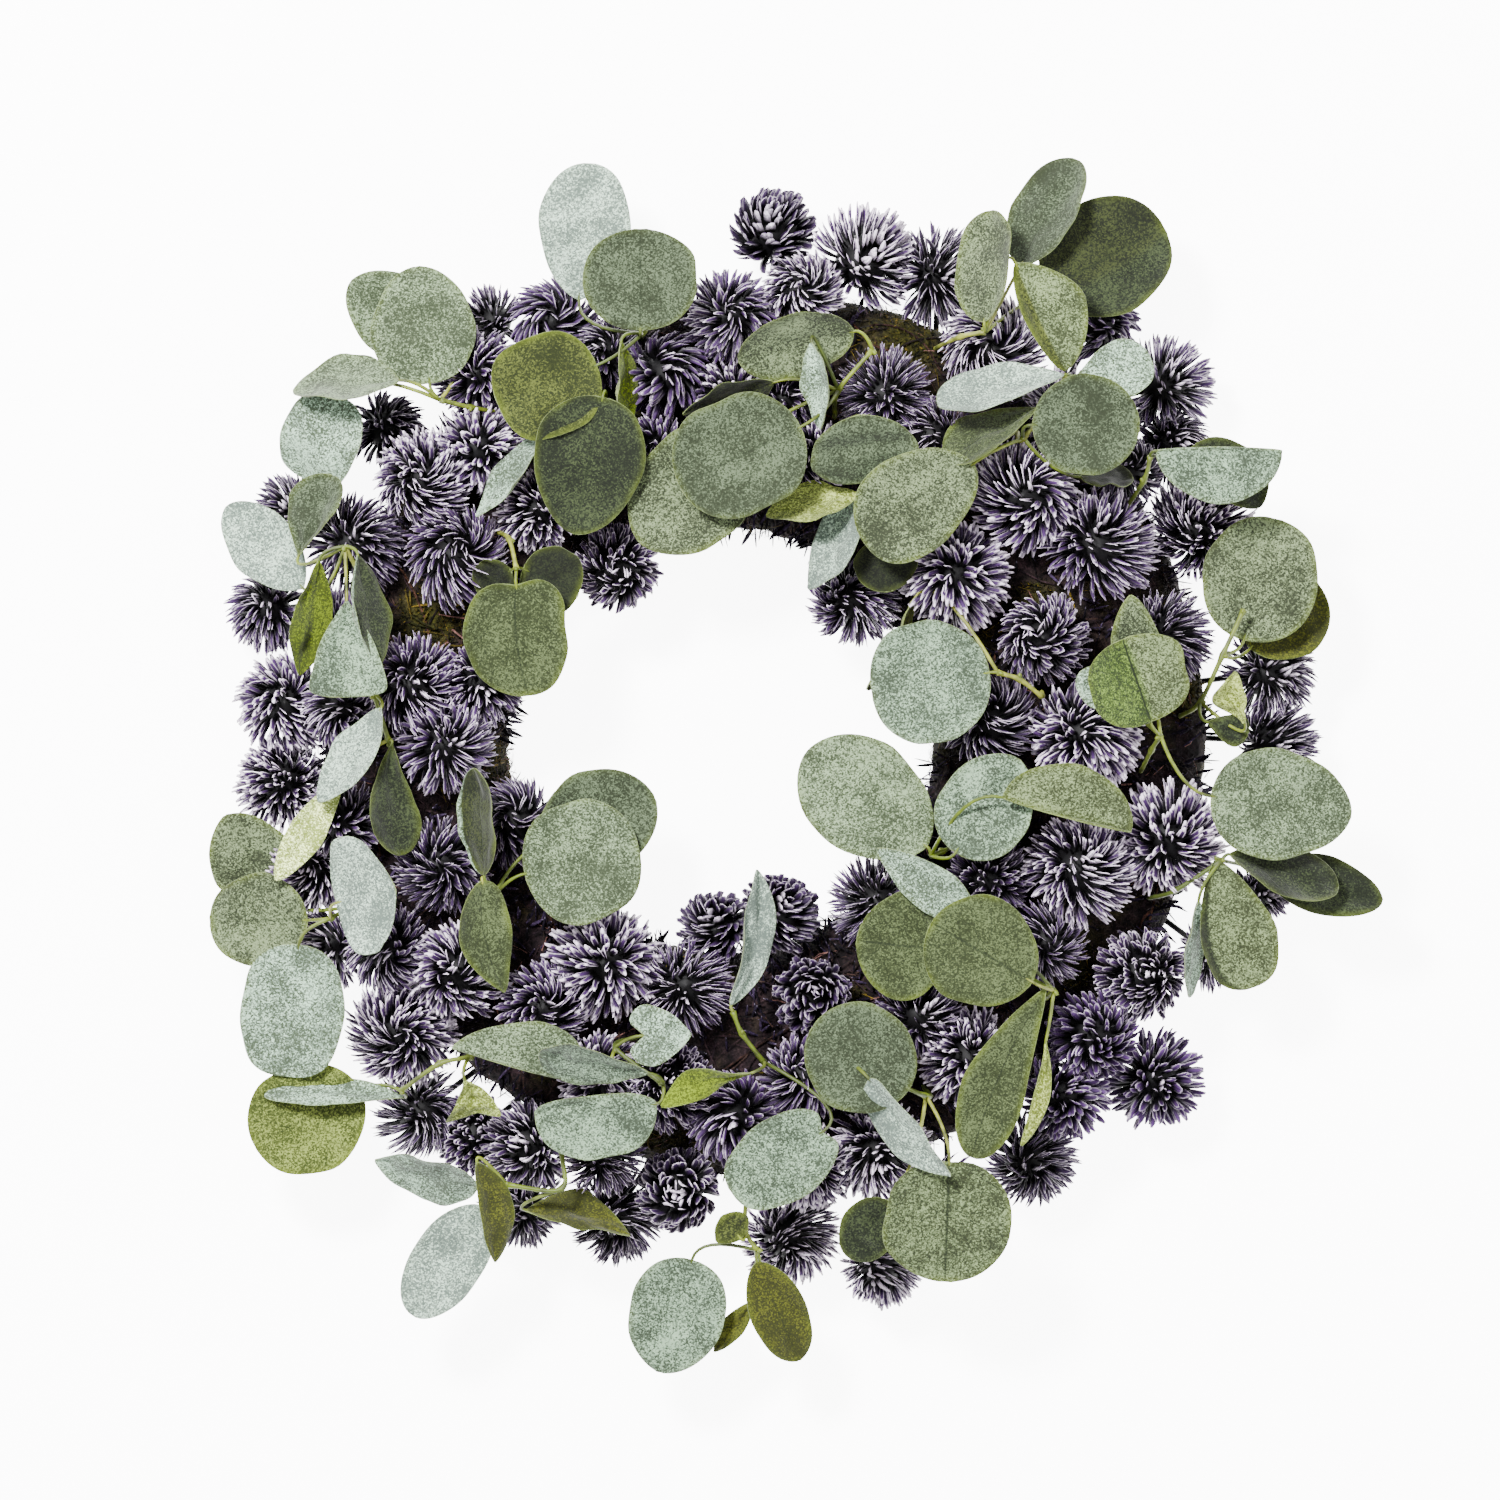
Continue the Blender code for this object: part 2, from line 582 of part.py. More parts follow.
def add_wire(first, second, heads, points, triangles, starts):
    """A wire from one head's core to another's, joined to a face of each."""
    start, end = heads[first]["centre"], heads[second]["centre"]
    along = (end - start).normalized()
    across = along.orthogonal().normalized()
    over = along.cross(across)
    turns = [math.radians(turn) for turn in (0, 120, 240)]
    offsets = [WIRE_RADIUS * (math.cos(turn) * across + math.sin(turn) * over) for turn in turns]
    near = [k + starts[first] for k in heads[first]["ports"][second]]
    far = [k + starts[second] for k in heads[second]["ports"][first]]
    here = len(points)
    points += wire_end(points, near, start, along, offsets)
    points += wire_end(points, far, start, along, offsets)
    near_met, far_met = [here, here + 1, here + 2], [here + 3, here + 4, here + 5]
    triangles += collar(near, near_met, points)
    triangles += collar(far, far_met[::-1], points)
    for k in range(3):
        a, b = near_met[k], near_met[(k + 1) % 3]
        c, d = far_met[(k + 1) % 3], far_met[k]
        triangles += [(a, b, c), (a, c, d)]


def build_clusters(triangles, tree, material):
    """Cone heads in clusters: each head stands on the ring, and wires hold a cluster together."""
    chance = random.Random(7)
    heads = plan_heads()
    cluster, wires = wire_clusters(heads, tree)
    pattern = core_pattern()
    shapes = [raise_head(number, heads, wires, triangles, pattern, chance) for number in range(len(heads))]
    for order, name in enumerate(dict.fromkeys(cluster)):
        members = [number for number in range(len(heads)) if cluster[number] == name]
        points, faces, starts = [], [], {}
        for number in members:
            starts[number] = len(points)
            faces += [tuple(k + len(points) for k in face) for face in shapes[number][1]]
            points += shapes[number][0]
        for first, second in wires:
            if first in starts:
                add_wire(first, second, heads, points, faces, starts)
        add_object(f"cone_cluster_{order + 1:02d}", points, faces, material, heads[members[0]]["centre"])


def stalk_rows(joint, base, axis, left):
    """Rows across the stalk, from the stem to the leaf's base: a middle, its left way and its up way."""
    span = (base - joint).length
    bend = base - axis * 0.4 * span
    middle = joint * 0.25 + bend * 0.5 + base * 0.25
    rows = []
    for point, way in ((joint, middle - joint), (middle, base - joint)):
        way = way.normalized()
        turned = axis.rotation_difference(way).to_matrix() @ left
        rows.append((point, turned, way.cross(turned)))
    return rows if span > STRAIGHT_STALK else rows[:1]


def leaf_rows(spec, joint):
    """The rows of a leaf and its stalk, each a left point, a right point and half the thickness."""
    base = at(*spec["base"][:2], spec["base"][2] * MM)
    tip = at(*spec["tip"][:2], spec["tip"][2] * MM)
    axis = (tip - base).normalized()
    flat_left = Vector((0, 0, 1)).cross(axis).normalized()
    left = Matrix.Rotation(math.radians(-spec["roll"]), 3, axis) @ flat_left
    up = axis.cross(left)
    length, half_width = (tip - base).length, spec["width"] * PIXEL / 2
    rows = []
    for point, side, above in stalk_rows(joint, base, axis, left):
        reach = side * STALK_HALF_WIDTH
        rows.append((point + reach, point - reach, above * STALK_THICKNESS / 2))
    reach = left * 2 * STALK_HALF_WIDTH
    rows.append((base + reach, base - reach, up * STALK_THICKNESS * 0.4))
    left_share, right_share = spec["halves"]
    for share in LONG_BLADE_ROWS if max(length, half_width * 2) > LONG_BLADE else BLADE_ROWS:
        spread = half_width * math.sqrt(1 - (2 * share - 1) ** 2) * 1.03
        bow = spec["arch"] * length * 4 * share * (1 - share)
        middle = base + axis * length * share + up * bow
        ends = (middle + left * spread * left_share, middle - left * spread * right_share)
        rows.append((*ends, up * BLADE_THICKNESS / 2))
    return rows, tip


def leaf_solid(spec, joint):
    """A leaf with its stalk as one closed solid, its two faces split into triangles alike."""
    rows, tip = leaf_rows(spec, joint)
    points = []
    for left, right, half in rows:
        points += [left + half, right + half, left - half, right - half]
    points += [tip + half, tip - half]
    last, top, bottom = len(points) - 6, len(points) - 2, len(points) - 1
    quads = [(2, 3, 1, 0), (last, top, bottom, last + 2), (last + 3, bottom, top, last + 1)]
    for here in range(0, last, 4):
        there = here + 4
        quads.append((here + 1, there + 1, there, here))
        quads.append((there + 2, there + 3, here + 3, here + 2))
        quads.append((here, there, there + 2, here + 2))
        quads.append((here + 3, there + 3, there + 1, here + 1))
    faces = [(last + 1, top, last), (last + 2, bottom, last + 3)]
    for a, b, c, d in quads:
        faces += [(a, b, c), (a, c, d)]
    return points, faces


def tube(path, radius):
    """A four-sided tube along a path, closed at both ends."""
    ways = [(path[min(k + 1, len(path) - 1)] - path[max(k - 1, 0)]).normalized() for k in range(len(path))]
    ways[0] = (path[1] - path[0]).normalized()
    side = ways[0].orthogonal().normalized()
    points, faces = [], []
    for k, point in enumerate(path):
        if k:
            side = ways[k - 1].rotation_difference(ways[k]).to_matrix() @ side
        over = ways[k].cross(side)
        points += [point + radius * way for way in (side, over, -side, -over)]
    for k in range(len(path) - 1):
        for turn in range(4):
            a, b = 4 * k + turn, 4 * k + (turn + 1) % 4
            faces += [(a, b, b + 4), (a, b + 4, a + 4)]
    end = 4 * (len(path) - 1)
    faces += [(0, 2, 1), (0, 3, 2), (end, end + 1, end + 2), (end, end + 2, end + 3)]
    return points, faces


def stem_path(foot, joints, ring_tree):
    """The stem's path: straight up from a hair above the ring, then through its joints."""
    seats = []
    for across, along in ((1, 0), (-1, 0), (0, 1), (0, -1), (0, 0)):
        over = at(*foot, 0.2) + STEM_RADIUS * Vector((across, along, 0))
        seats.append(ring_tree.ray_cast(over, Vector((0, 0, -1)))[0].z)
    start = at(*foot, max(seats) + SEAT_GAP)
    path = [start, start + Vector((0, 0, STEM_RISE))]
    return path + [at(x, y, height * MM) for x, y, height in joints]


def join(name, solids, material, place):
    """Joins overlapping solids into one body with a Boolean union."""
    parts = bpy.data.collections.new(name + "_parts")
    bpy.context.scene.collection.children.link(parts)
    helpers = []
    for points, faces in solids[1:]:
        helper = add_object(name + "_part", points, faces, material, place)
        bpy.context.scene.collection.objects.unlink(helper)
        parts.objects.link(helper)
        helpers.append(helper)
    whole = add_object(name, *solids[0], material, place)
    union = whole.modifiers.new("Join", "BOOLEAN")
    union.operation = "UNION"
    union.operand_type = "COLLECTION"
    union.collection = parts
    union.solver = UNION_SOLVER
    bpy.context.view_layer.update()
    joined = bpy.data.meshes.new_from_object(whole.evaluated_get(bpy.context.evaluated_depsgraph_get()))
    whole.modifiers.clear()
    whole.data = joined
    for helper in helpers:
        bpy.data.objects.remove(helper, do_unlink=True)
    bpy.data.collections.remove(parts)
    return whole


def build_sprays(ring_tree, material):
    """Every eucalyptus spray: a stem from the ring with its leaves joined on. It gives their triangles."""
    triangles = []
    for order, (foot, joints, leaves) in enumerate(SPRAYS):
        path = stem_path(foot, joints, ring_tree)
        solids = [tube(path, STEM_RADIUS)]
        solids += [leaf_solid(spec, path[2 + spec["joint"]]) for spec in leaves]
        for points, faces in solids:
            triangles += [tuple(Vector(points[k]) for k in face) for face in faces]
        join(f"eucalyptus_spray_{order + 1:02d}", solids, material, path[0])
    return triangles


def main():
    clear_scene()
    moss = make_material("moss_and_twig_fibre", (0.045, 0.035, 0.024), 0.95)
    bract = make_material("frosted_aubergine_bract", (0.12, 0.095, 0.16), 0.8)
    flock = make_material("flocked_sage_leaf", (0.27, 0.34, 0.25), 0.85)
    ring = build_ring(moss)
    bpy.context.view_layer.update()
    vertices = [ring.matrix_world @ vertex.co for vertex in ring.data.vertices]
    ring_faces = [tuple(face.vertices) for face in ring.data.polygons]
    ring_tree = BVHTree.FromPolygons(vertices, ring_faces)
    triangles = build_sprays(ring_tree, flock)
    triangles += [tuple(vertices[k] for k in face) for face in ring_faces]
    corners = [corner for triangle in triangles for corner in triangle]
    rows = [(3 * k, 3 * k + 1, 3 * k + 2) for k in range(len(triangles))]
    build_clusters(np.array(triangles), BVHTree.FromPolygons(corners, rows), bract)


main()
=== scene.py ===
"""The looks of a pinecone wreath that lies on its back on a pale floor, seen from straight above."""

import math
import random

import bpy
import numpy as np
from mathutils import Matrix, Vector, noise
from mathutils.bvhtree import BVHTree


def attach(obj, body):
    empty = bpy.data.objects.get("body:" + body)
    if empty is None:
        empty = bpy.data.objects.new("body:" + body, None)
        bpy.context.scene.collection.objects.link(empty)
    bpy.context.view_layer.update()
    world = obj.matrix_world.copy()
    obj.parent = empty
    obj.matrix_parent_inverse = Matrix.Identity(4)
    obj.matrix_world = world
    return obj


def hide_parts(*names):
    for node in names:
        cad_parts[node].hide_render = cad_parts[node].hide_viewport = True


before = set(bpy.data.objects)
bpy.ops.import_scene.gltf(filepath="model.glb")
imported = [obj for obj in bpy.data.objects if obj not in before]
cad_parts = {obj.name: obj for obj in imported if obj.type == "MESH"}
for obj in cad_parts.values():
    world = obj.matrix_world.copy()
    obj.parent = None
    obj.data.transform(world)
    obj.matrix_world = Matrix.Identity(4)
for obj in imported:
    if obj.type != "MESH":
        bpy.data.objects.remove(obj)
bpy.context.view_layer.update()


# Moss ring form.
# The real one is a straw ring wrapped in dyed plum-brown plant fibre, with tufts of olive moss glued on.
# Loose fibres stand off it, and it shows in the gaps between the cone heads and along its flat back.

MM = 0.001
PIXEL = 0.46 * MM
MIDDLE_X = 791.54
MIDDLE_Y = 767.21

RING_HEIGHT = 42 * MM
RING_INNER_RADIUS = 99.4 * MM
RING_OUTER_RADIUS = 204.7 * MM
RING_INNER_MIDDLE = (720.0, 740.0)
RING_OUTER_MIDDLE = (765.0, 735.0)
RING_WIDEST_HEIGHT = 0.38 * RING_HEIGHT
RING_ROUNDNESS = 2.6
RING_STEPS_ROUND = 260
RING_STEPS_ACROSS = 30
RING_STEPS_BACK = 8
# How the section rounds in to the flat back: shares of the half width and of the height.
RING_BACK_EDGE = ((0.98, 0.22), (0.94, 0.08), (0.84, 0.0))
LUMP_HEIGHT = 1.7 * MM
FIBRES = 6500
PINK_FIBRES = 0.04
LOOSE_BRACTS = 4500
TWIGS = 70
# Mossy patches: x, y and radius in pixels.
MOSS_TUFTS = (
    (430, 622, 42), (497, 765, 30), (905, 335, 50), (1075, 965, 26), (655, 1130, 40), (1040, 610, 30),
    (845, 1010, 26), (700, 960, 24), (1185, 690, 28), (560, 600, 24),
)
TUFTS_PER_PIXEL = 13
# Ranges of the loose pieces' sizes, in mm.
FIBRE_LENGTHS, FIBRE_WIDTHS, FIBRE_RISES = (6, 22), (0.2, 0.55), (0.8, 4.5)
LOOSE_LENGTHS, LOOSE_WIDTHS = (6, 12), (0.7, 1.2)
TWIG_LENGTHS, TWIG_RADII = (16, 34), (0.45, 0.7)
TUFT_LENGTHS, TUFT_WIDTHS = (1.6, 4.2), (0.3, 0.6)
FIBRE_TONES = ("#1A1014", "#2E2024", "#120D10", "#3A2A26", "#241820")
PINK_TONE = "#7A5650"
LOOSE_TONES = ("#1B1224", "#2C2038", "#0E0913", "#3D2F4A")
LOOSE_TIP = "#8E8398"
MOSS_TONES = ("#23240A", "#34330E", "#4A4014", "#15160A", "#6A581C")
TWIG_TONES = ("#2A1A16", "#3C241C", "#1C1412", "#4E3428")


def at(x, y, height):
    """A place in the front view, in its pixels, as a world point."""
    return Vector(((x - MIDDLE_X) * PIXEL, (MIDDLE_Y - y) * PIXEL, height))


def linear(colour):
    """An sRGB hex colour as linear red, green and blue."""
    shares = [int(colour[k:k + 2], 16) / 255 for k in (1, 3, 5)]
    return tuple(s / 12.92 if s <= 0.04045 else ((s + 0.055) / 1.055) ** 2.4 for s in shares)


def add(tree, kind, links=None, **settings):
    """Adds a shader node: settings are its own values, links its sockets' values or sources."""
    made = tree.nodes.new(kind)
    for name, value in settings.items():
        setattr(made, name, value)
    for socket, value in (links or {}).items():
        if isinstance(value, bpy.types.NodeSocket):
            tree.links.new(value, made.inputs[socket])
        else:
            made.inputs[socket].default_value = value
    return made


def maths(tree, operation, *values, clamp=False):
    """The result of a sum on numbers or sockets."""
    links = dict(enumerate(values))
    return add(tree, "ShaderNodeMath", links, operation=operation, use_clamp=clamp).outputs[0]


def ranged(tree, value, low, high, to_low=0.0, to_high=1.0, clamp=True):
    """A value whose range from low to high is carried over to another range."""
    links = {"Value": value, "From Min": low, "From Max": high, "To Min": to_low, "To Max": to_high}
    return add(tree, "ShaderNodeMapRange", links, clamp=clamp).outputs["Result"]


def blended(tree, share, first, second):
    """A colour between two, each of them a socket or an sRGB hex colour."""
    first, second = [(*linear(end), 1) if isinstance(end, str) else end for end in (first, second)]
    links = {"Factor": share, "A": first, "B": second}
    return add(tree, "ShaderNodeMix", links, data_type="RGBA").outputs["Result"]


def lightened(tree, colour, scale):
    """A colour times a number."""
    return add(tree, "ShaderNodeVectorMath", {0: colour, "Scale": scale}, operation="SCALE").outputs["Vector"]


def speckled(tree, place, scale, detail, roughness=0.5):
    """A noise with so many features to the metre."""
    links = {"Vector": place, "Scale": scale, "Detail": detail, "Roughness": roughness}
    return add(tree, "ShaderNodeTexNoise", links).outputs["Fac"]


def raised(tree, height, strength, distance, normal=None):
    """The normal of a bumpy surface, on top of another normal if one is given."""
    links = {"Height": height, "Strength": strength, "Distance": distance}
    if normal:
        links["Normal"] = normal
    return add(tree, "ShaderNodeBump", links).outputs["Normal"]


def finish_shader(tree, shader, colour, normal, **uniform):
    """Links a material's colour and normal, and sets its uniform values by the names of their sockets."""
    tree.links.new(colour, shader.inputs["Base Color"])
    if normal:
        tree.links.new(normal, shader.inputs["Normal"])
    for name, value in uniform.items():
        shader.inputs[name].default_value = value


def new_material(name):
    """An empty material with a Principled shader, as its node tree and that shader."""
    material = bpy.data.materials.new(name)
    material.use_nodes = True
    return material, material.node_tree, material.node_tree.nodes["Principled BSDF"]


def make_piece(name, node, parts, materials):
    """One mesh object from parts, each of points, faces, a material number and colour attributes."""
    points, faces, numbers, colours = [], [], [], {}
    count = 0
    for part_points, part_faces, number, part_colours in parts:
        points.append(np.asarray(part_points, float))
        faces += [tuple(int(k) + count for k in face) for face in part_faces]
        numbers += [number] * len(part_faces)
        for key, values in part_colours.items():
            colours.setdefault(key, []).append((count, np.asarray(values, float)))
        count += len(part_points)
    points = np.concatenate(points)
    mesh = bpy.data.meshes.new(name)
    mesh.from_pydata(points, [], faces)
    for key, blocks in colours.items():
        whole = np.zeros((count, 4))
        for start, values in blocks:
            whole[start:start + len(values)] = values
        mesh.attributes.new(key, "FLOAT_COLOR", "POINT").data.foreach_set("color", whole.ravel())
    for material in materials:
        mesh.materials.append(material)
    mesh.polygons.foreach_set("material_index", numbers)
    mesh.polygons.foreach_set("use_smooth", [True] * len(faces))
    piece = bpy.data.objects.new(name, mesh)
    bpy.context.scene.collection.objects.link(piece)
    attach(piece, "root")
    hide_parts(node)


def ring_band(angle):
    """The middle of the ring's band at an angle, and the vector from there to its outer edge."""
    outward = Vector((math.cos(angle), math.sin(angle), 0.0))
    inner = at(*RING_INNER_MIDDLE, 0.0) + RING_INNER_RADIUS * outward
    outer = at(*RING_OUTER_MIDDLE, 0.0) + RING_OUTER_RADIUS * outward
    return (inner + outer) / 2, (outer - inner) / 2


def ring_arch(turn):
    """The ring's rounded section above its widest height: share of the half width, and height."""
    power = 2 / RING_ROUNDNESS
    across = math.copysign(abs(math.cos(turn)) ** power, math.cos(turn))
    rise = abs(math.sin(turn)) ** power * (RING_HEIGHT - RING_WIDEST_HEIGHT)
    return across, RING_WIDEST_HEIGHT + rise


def ring_outline():
    """The ring's section: the arch, then down the inner side, along the flat back and up again."""
    section = [ring_arch(math.pi * step / RING_STEPS_ACROSS) for step in range(RING_STEPS_ACROSS + 1)]
    edge = [(across, height * RING_HEIGHT) for across, height in RING_BACK_EDGE]
    flat = RING_BACK_EDGE[-1][0]
    back = [(-flat + 2 * flat * step / RING_STEPS_BACK, 0.0) for step in range(1, RING_STEPS_BACK)]
    return section + [(-across, height) for across, height in edge] + back + edge[::-1]


def moss_share(point):
    """How mossy the ring is at a point: 1 inside a tuft's patch and, more thinly, in scattered spots."""
    share = 0.0
    for x, y, radius in MOSS_TUFTS:
        gap = (at(x, y, 0.0) - Vector((point.x, point.y, 0.0))).length / (radius * PIXEL)
        share = max(share, 1.25 - gap)
    spots = noise.noise(point * 60) - 0.25
    ragged = 0.35 * noise.noise(point * 180)
    return min(max(max(share, 2.0 * spots) + ragged, 0.0), 1.0)


def mixed(first, second, share):
    """A colour between two, as four numbers."""
    return (*(a + (b - a) * share for a, b in zip(first, second)), 1.0)


def ring_surface():
    """The ring's points, lumpy on top and nearly flat at the back, with its faces and colours."""
    outline = ring_outline()
    count = len(outline)
    plum, dark, olive = linear(FIBRE_TONES[1]), linear(FIBRE_TONES[2]), linear(MOSS_TONES[1])
    points, colours, faces = [], [], []
    for step in range(RING_STEPS_ROUND):
        middle, half = ring_band(2 * math.pi * step / RING_STEPS_ROUND)
        for across, height in outline:
            place = middle + half * across + Vector((0, 0, height))
            off = place - middle - Vector((0, 0, RING_WIDEST_HEIGHT))
            lump = noise.fractal(place * 90, 0.9, 2.0, 3) + 0.8 * noise.noise(place * 320)
            depth = LUMP_HEIGHT if height > 0.3 * RING_HEIGHT else 0.0
            points.append(place + off.normalized() * lump * depth)
            shade = min(max(0.5 + noise.noise(place * 240), 0.0), 1.0)
            colours.append(mixed(mixed(dark, plum, shade), olive, moss_share(place)))
    for step in range(RING_STEPS_ROUND):
        here, there = step * count, (step + 1) % RING_STEPS_ROUND * count
        for k in range(count):
            following = (k + 1) % count
            faces.append((here + k, there + k, there + following, here + following))
    return points, faces, 0, {"fibre": colours}


def ring_spot(chance, low=2, high=178):
    """A random spot on the ring's rounded top, with the ways out of the ring and round it there."""
    angle = chance.uniform(0, 2 * math.pi)
    middle, half = ring_band(angle)
    across, height = ring_arch(math.radians(chance.uniform(low, high)))
    spot = middle + half * across + Vector((0, 0, height))
    out = (spot - middle - Vector((0, 0, RING_WIDEST_HEIGHT))).normalized()
    return spot, out, Vector((-math.sin(angle), math.cos(angle), 0))


def ring_fibres(chance):
    """Loose fibres, each a narrow curved ribbon that lies over the ring's top at its own angle."""
    points, faces, colours = [], [], []
    for _ in range(FIBRES):
        root, out, around = ring_spot(chance)
        heading = Matrix.Rotation(chance.uniform(0, 2 * math.pi), 3, out) @ around
        side = out.cross(heading)
        length = chance.uniform(*FIBRE_LENGTHS) * MM
        width = chance.uniform(*FIBRE_WIDTHS) * MM
        rise = chance.uniform(*FIBRE_RISES) * MM
        curl = chance.uniform(-0.35, 0.35)
        tones = MOSS_TONES if chance.random() < moss_share(root) else FIBRE_TONES
        tone = (*linear(PINK_TONE if chance.random() < PINK_FIBRES else chance.choice(tones)), 1.0)
        start = len(points)
        for step in range(4):
            share = step / 3
            place = root + heading * length * (share - 0.5) + side * curl * length * share * share
            place = place + out * (rise * math.sin(math.pi * (0.15 + 0.8 * share)) - 0.4 * MM)
            thin = width * (1 - 0.6 * share)
            points += [place + side * thin, place - side * thin]
            colours += [tone] * 2
        for step in range(3):
            a = start + 2 * step
            faces.append((a, a + 2, a + 3, a + 1))
    return points, faces, 0, {"fibre": colours}


def ribbon_faces(a):
    """The faces from one row of a creased ribbon, whose first point is a, to its next row."""
    return [(a, a + 1, a + 4, a + 3), (a + 1, a + 2, a + 5, a + 4), (a + 2, a, a + 3, a + 5)]


def loose_bracts(chance):
    """Short dark bracts shed from the heads, caught on end all over the ring's top."""
    points, faces, colours = [], [], []
    for _ in range(LOOSE_BRACTS):
        root, out, around = ring_spot(chance, 8, 172)
        if moss_share(root) > 0.35:
            continue
        lean = Vector((chance.uniform(-1, 1), chance.uniform(-1, 1), chance.uniform(-1, 1))) * 0.8
        way = (out + lean - out * lean.dot(out)).normalized()
        side = way.cross(out + around * 0.3).normalized()
        over = side.cross(way)
        length, width = chance.uniform(*LOOSE_LENGTHS) * MM, chance.uniform(*LOOSE_WIDTHS) * MM
        tone = linear(chance.choice(LOOSE_TONES))
        start = len(points)
        for share, wide in ((0.0, 0.7), (0.5, 1.0), (0.85, 0.6)):
            middle = root + way * length * share
            edge = side * width * wide
            points += [middle + edge, middle + over * width * wide * 0.6, middle - edge]
            colours += [(*tone, 1.0)] * 3
        points.append(root + way * length)
        colours.append((*linear(LOOSE_TIP), 1.0))
        faces += ribbon_faces(start) + ribbon_faces(start + 3)
        faces += [(start + 6 + k, start + 6 + (k + 1) % 3, start + 9) for k in range(3)]
    return points, faces, 0, {"fibre": colours}


def tube(path, radii, sides=8):
    """A round tube along a path of points, pinched shut at both ends."""
    ways = [(path[min(k + 1, len(path) - 1)] - path[max(k - 1, 0)]).normalized() for k in range(len(path))]
    side = ways[0].orthogonal().normalized()
    points, faces = [path[0]], []
    for k, place in enumerate(path):
        if k:
            side = ways[k - 1].rotation_difference(ways[k]).to_matrix() @ side
        over = ways[k].cross(side)
        for turn in range(sides):
            angle = 2 * math.pi * turn / sides
            points.append(place + radii[k] * (math.cos(angle) * side + math.sin(angle) * over))
    points.append(path[-1])
    for turn in range(sides):
        following = (turn + 1) % sides
        faces.append((0, 1 + following, 1 + turn))
        for k in range(len(path) - 1):
            here = 1 + sides * k
            faces.append((here + turn, here + following, here + sides + following, here + sides + turn))
        last = 1 + sides * (len(path) - 1)
        faces.append((last + turn, last + following, len(points) - 1))
    return points, faces


def smooth_path(path, steps=6):
    """A rounded path through the points of a stem."""
    points = []
    for k in range(len(path) - 1):
        before = path[k - 1] if k else 2 * path[0] - path[1]
        after = path[k + 2] if k + 2 < len(path) else 2 * path[-1] - path[-2]
        for step in range(steps):
            t = step / steps
            a = 2 * path[k] + (path[k + 1] - before) * t
            b = (2 * before - 5 * path[k] + 4 * path[k + 1] - after) * t * t
            c = (3 * path[k] - before - 3 * path[k + 1] + after) * t * t * t
            points.append((a + b + c) / 2)
    return points + [path[-1]]


def ring_twigs(chance):
    """Thin dark twigs that are wound over the ring in loose arcs."""
    parts = []
    for _ in range(TWIGS):
        root, out, around = ring_spot(chance, 25, 155)
        heading = Matrix.Rotation(chance.uniform(-0.9, 0.9), 3, out) @ around
        bend = Vector((0, 0, 1)).cross(heading) * chance.uniform(-0.5, 0.5)
        length = chance.uniform(*TWIG_LENGTHS) * MM
        path = []
        for step in range(5):
            share = step / 2 - 1
            place = root + heading * length * share + bend * length * share * share
            found = ring_tree.find_nearest(place)[0]
            path.append(found + out * chance.uniform(0.3, 2.2) * MM)
        places = smooth_path(path, 3)
        points, faces = tube(places, [chance.uniform(*TWIG_RADII) * MM] * len(places), 5)
        parts.append((points, faces, 0, {"fibre": [(*linear(chance.choice(TWIG_TONES)), 1.0)] * len(points)}))
    return parts


def moss_tufts(chance):
    """Short olive moss leaves that stand up in tufts on the ring's mossy patches."""
    points, faces, colours = [], [], []
    for x, y, radius in MOSS_TUFTS:
        for _ in range(int(radius * TUFTS_PER_PIXEL)):
            reach = radius * math.sqrt(chance.random()) * 1.05
            way = chance.uniform(0, 2 * math.pi)
            over = at(x + reach * math.cos(way), y + reach * math.sin(way), 0.2)
            found = ring_tree.ray_cast(over, Vector((0, 0, -1)))[0]
            if found is None:
                continue
            lean = Vector((chance.uniform(-1, 1), chance.uniform(-1, 1), chance.uniform(0.5, 1.6)))
            lean.normalize()
            side = lean.cross(Vector((chance.uniform(-1, 1), chance.uniform(-1, 1), 0.2))).normalized()
            length = chance.uniform(*TUFT_LENGTHS) * MM
            width = chance.uniform(*TUFT_WIDTHS) * MM
            dark, light = linear(MOSS_TONES[3]), linear(chance.choice(MOSS_TONES))
            start = len(points)
            waist = found + lean * length * 0.6
            points += [found - side * width * 0.5, found + side * width * 0.5]
            points += [waist + side * width, waist - side * width, found + lean * length]
            colours += [(*dark, 1.0)] * 2 + [(*light, 1.0)] * 3
            faces += [(start, start + 1, start + 2, start + 3), (start + 3, start + 2, start + 4)]
    return points, faces, 0, {"fibre": colours}


# Dyed plant fibre and dried moss: fully matt, broken up by fine gaps darkened with painted shade, so it
# drinks the light.
fibre_material, tree, shader = new_material("dyed_plant_fibre_and_dried_moss")
fibre = add(tree, "ShaderNodeAttribute", attribute_name="fibre")
place = add(tree, "ShaderNodeTexCoord").outputs["Object"]
grain = ranged(tree, speckled(tree, place, 700.0, 4.0, 0.7), 0.3, 0.7, 0.3, 1.7)
# Painted shade: hollows a few millimetres across between the strands, darkened nearly to black.
painted_hollow_shade = ranged(tree, speckled(tree, place, 230.0, 5.0, 0.7), 0.36, 0.62, 0.12, 1.7)
# The fine grain and the painted hollow shade together scale the colour and raise the bumps.
grain_and_painted_hollow_shade = maths(tree, "MULTIPLY", grain, painted_hollow_shade)
shaded = lightened(tree, fibre.outputs["Color"], grain_and_painted_hollow_shade)
uniform = {"Roughness": 0.95, "Specular IOR Level": 0.2}
finish_shader(tree, shader, shaded, raised(tree, grain_and_painted_hollow_shade, 0.8, 0.7 * MM), **uniform)

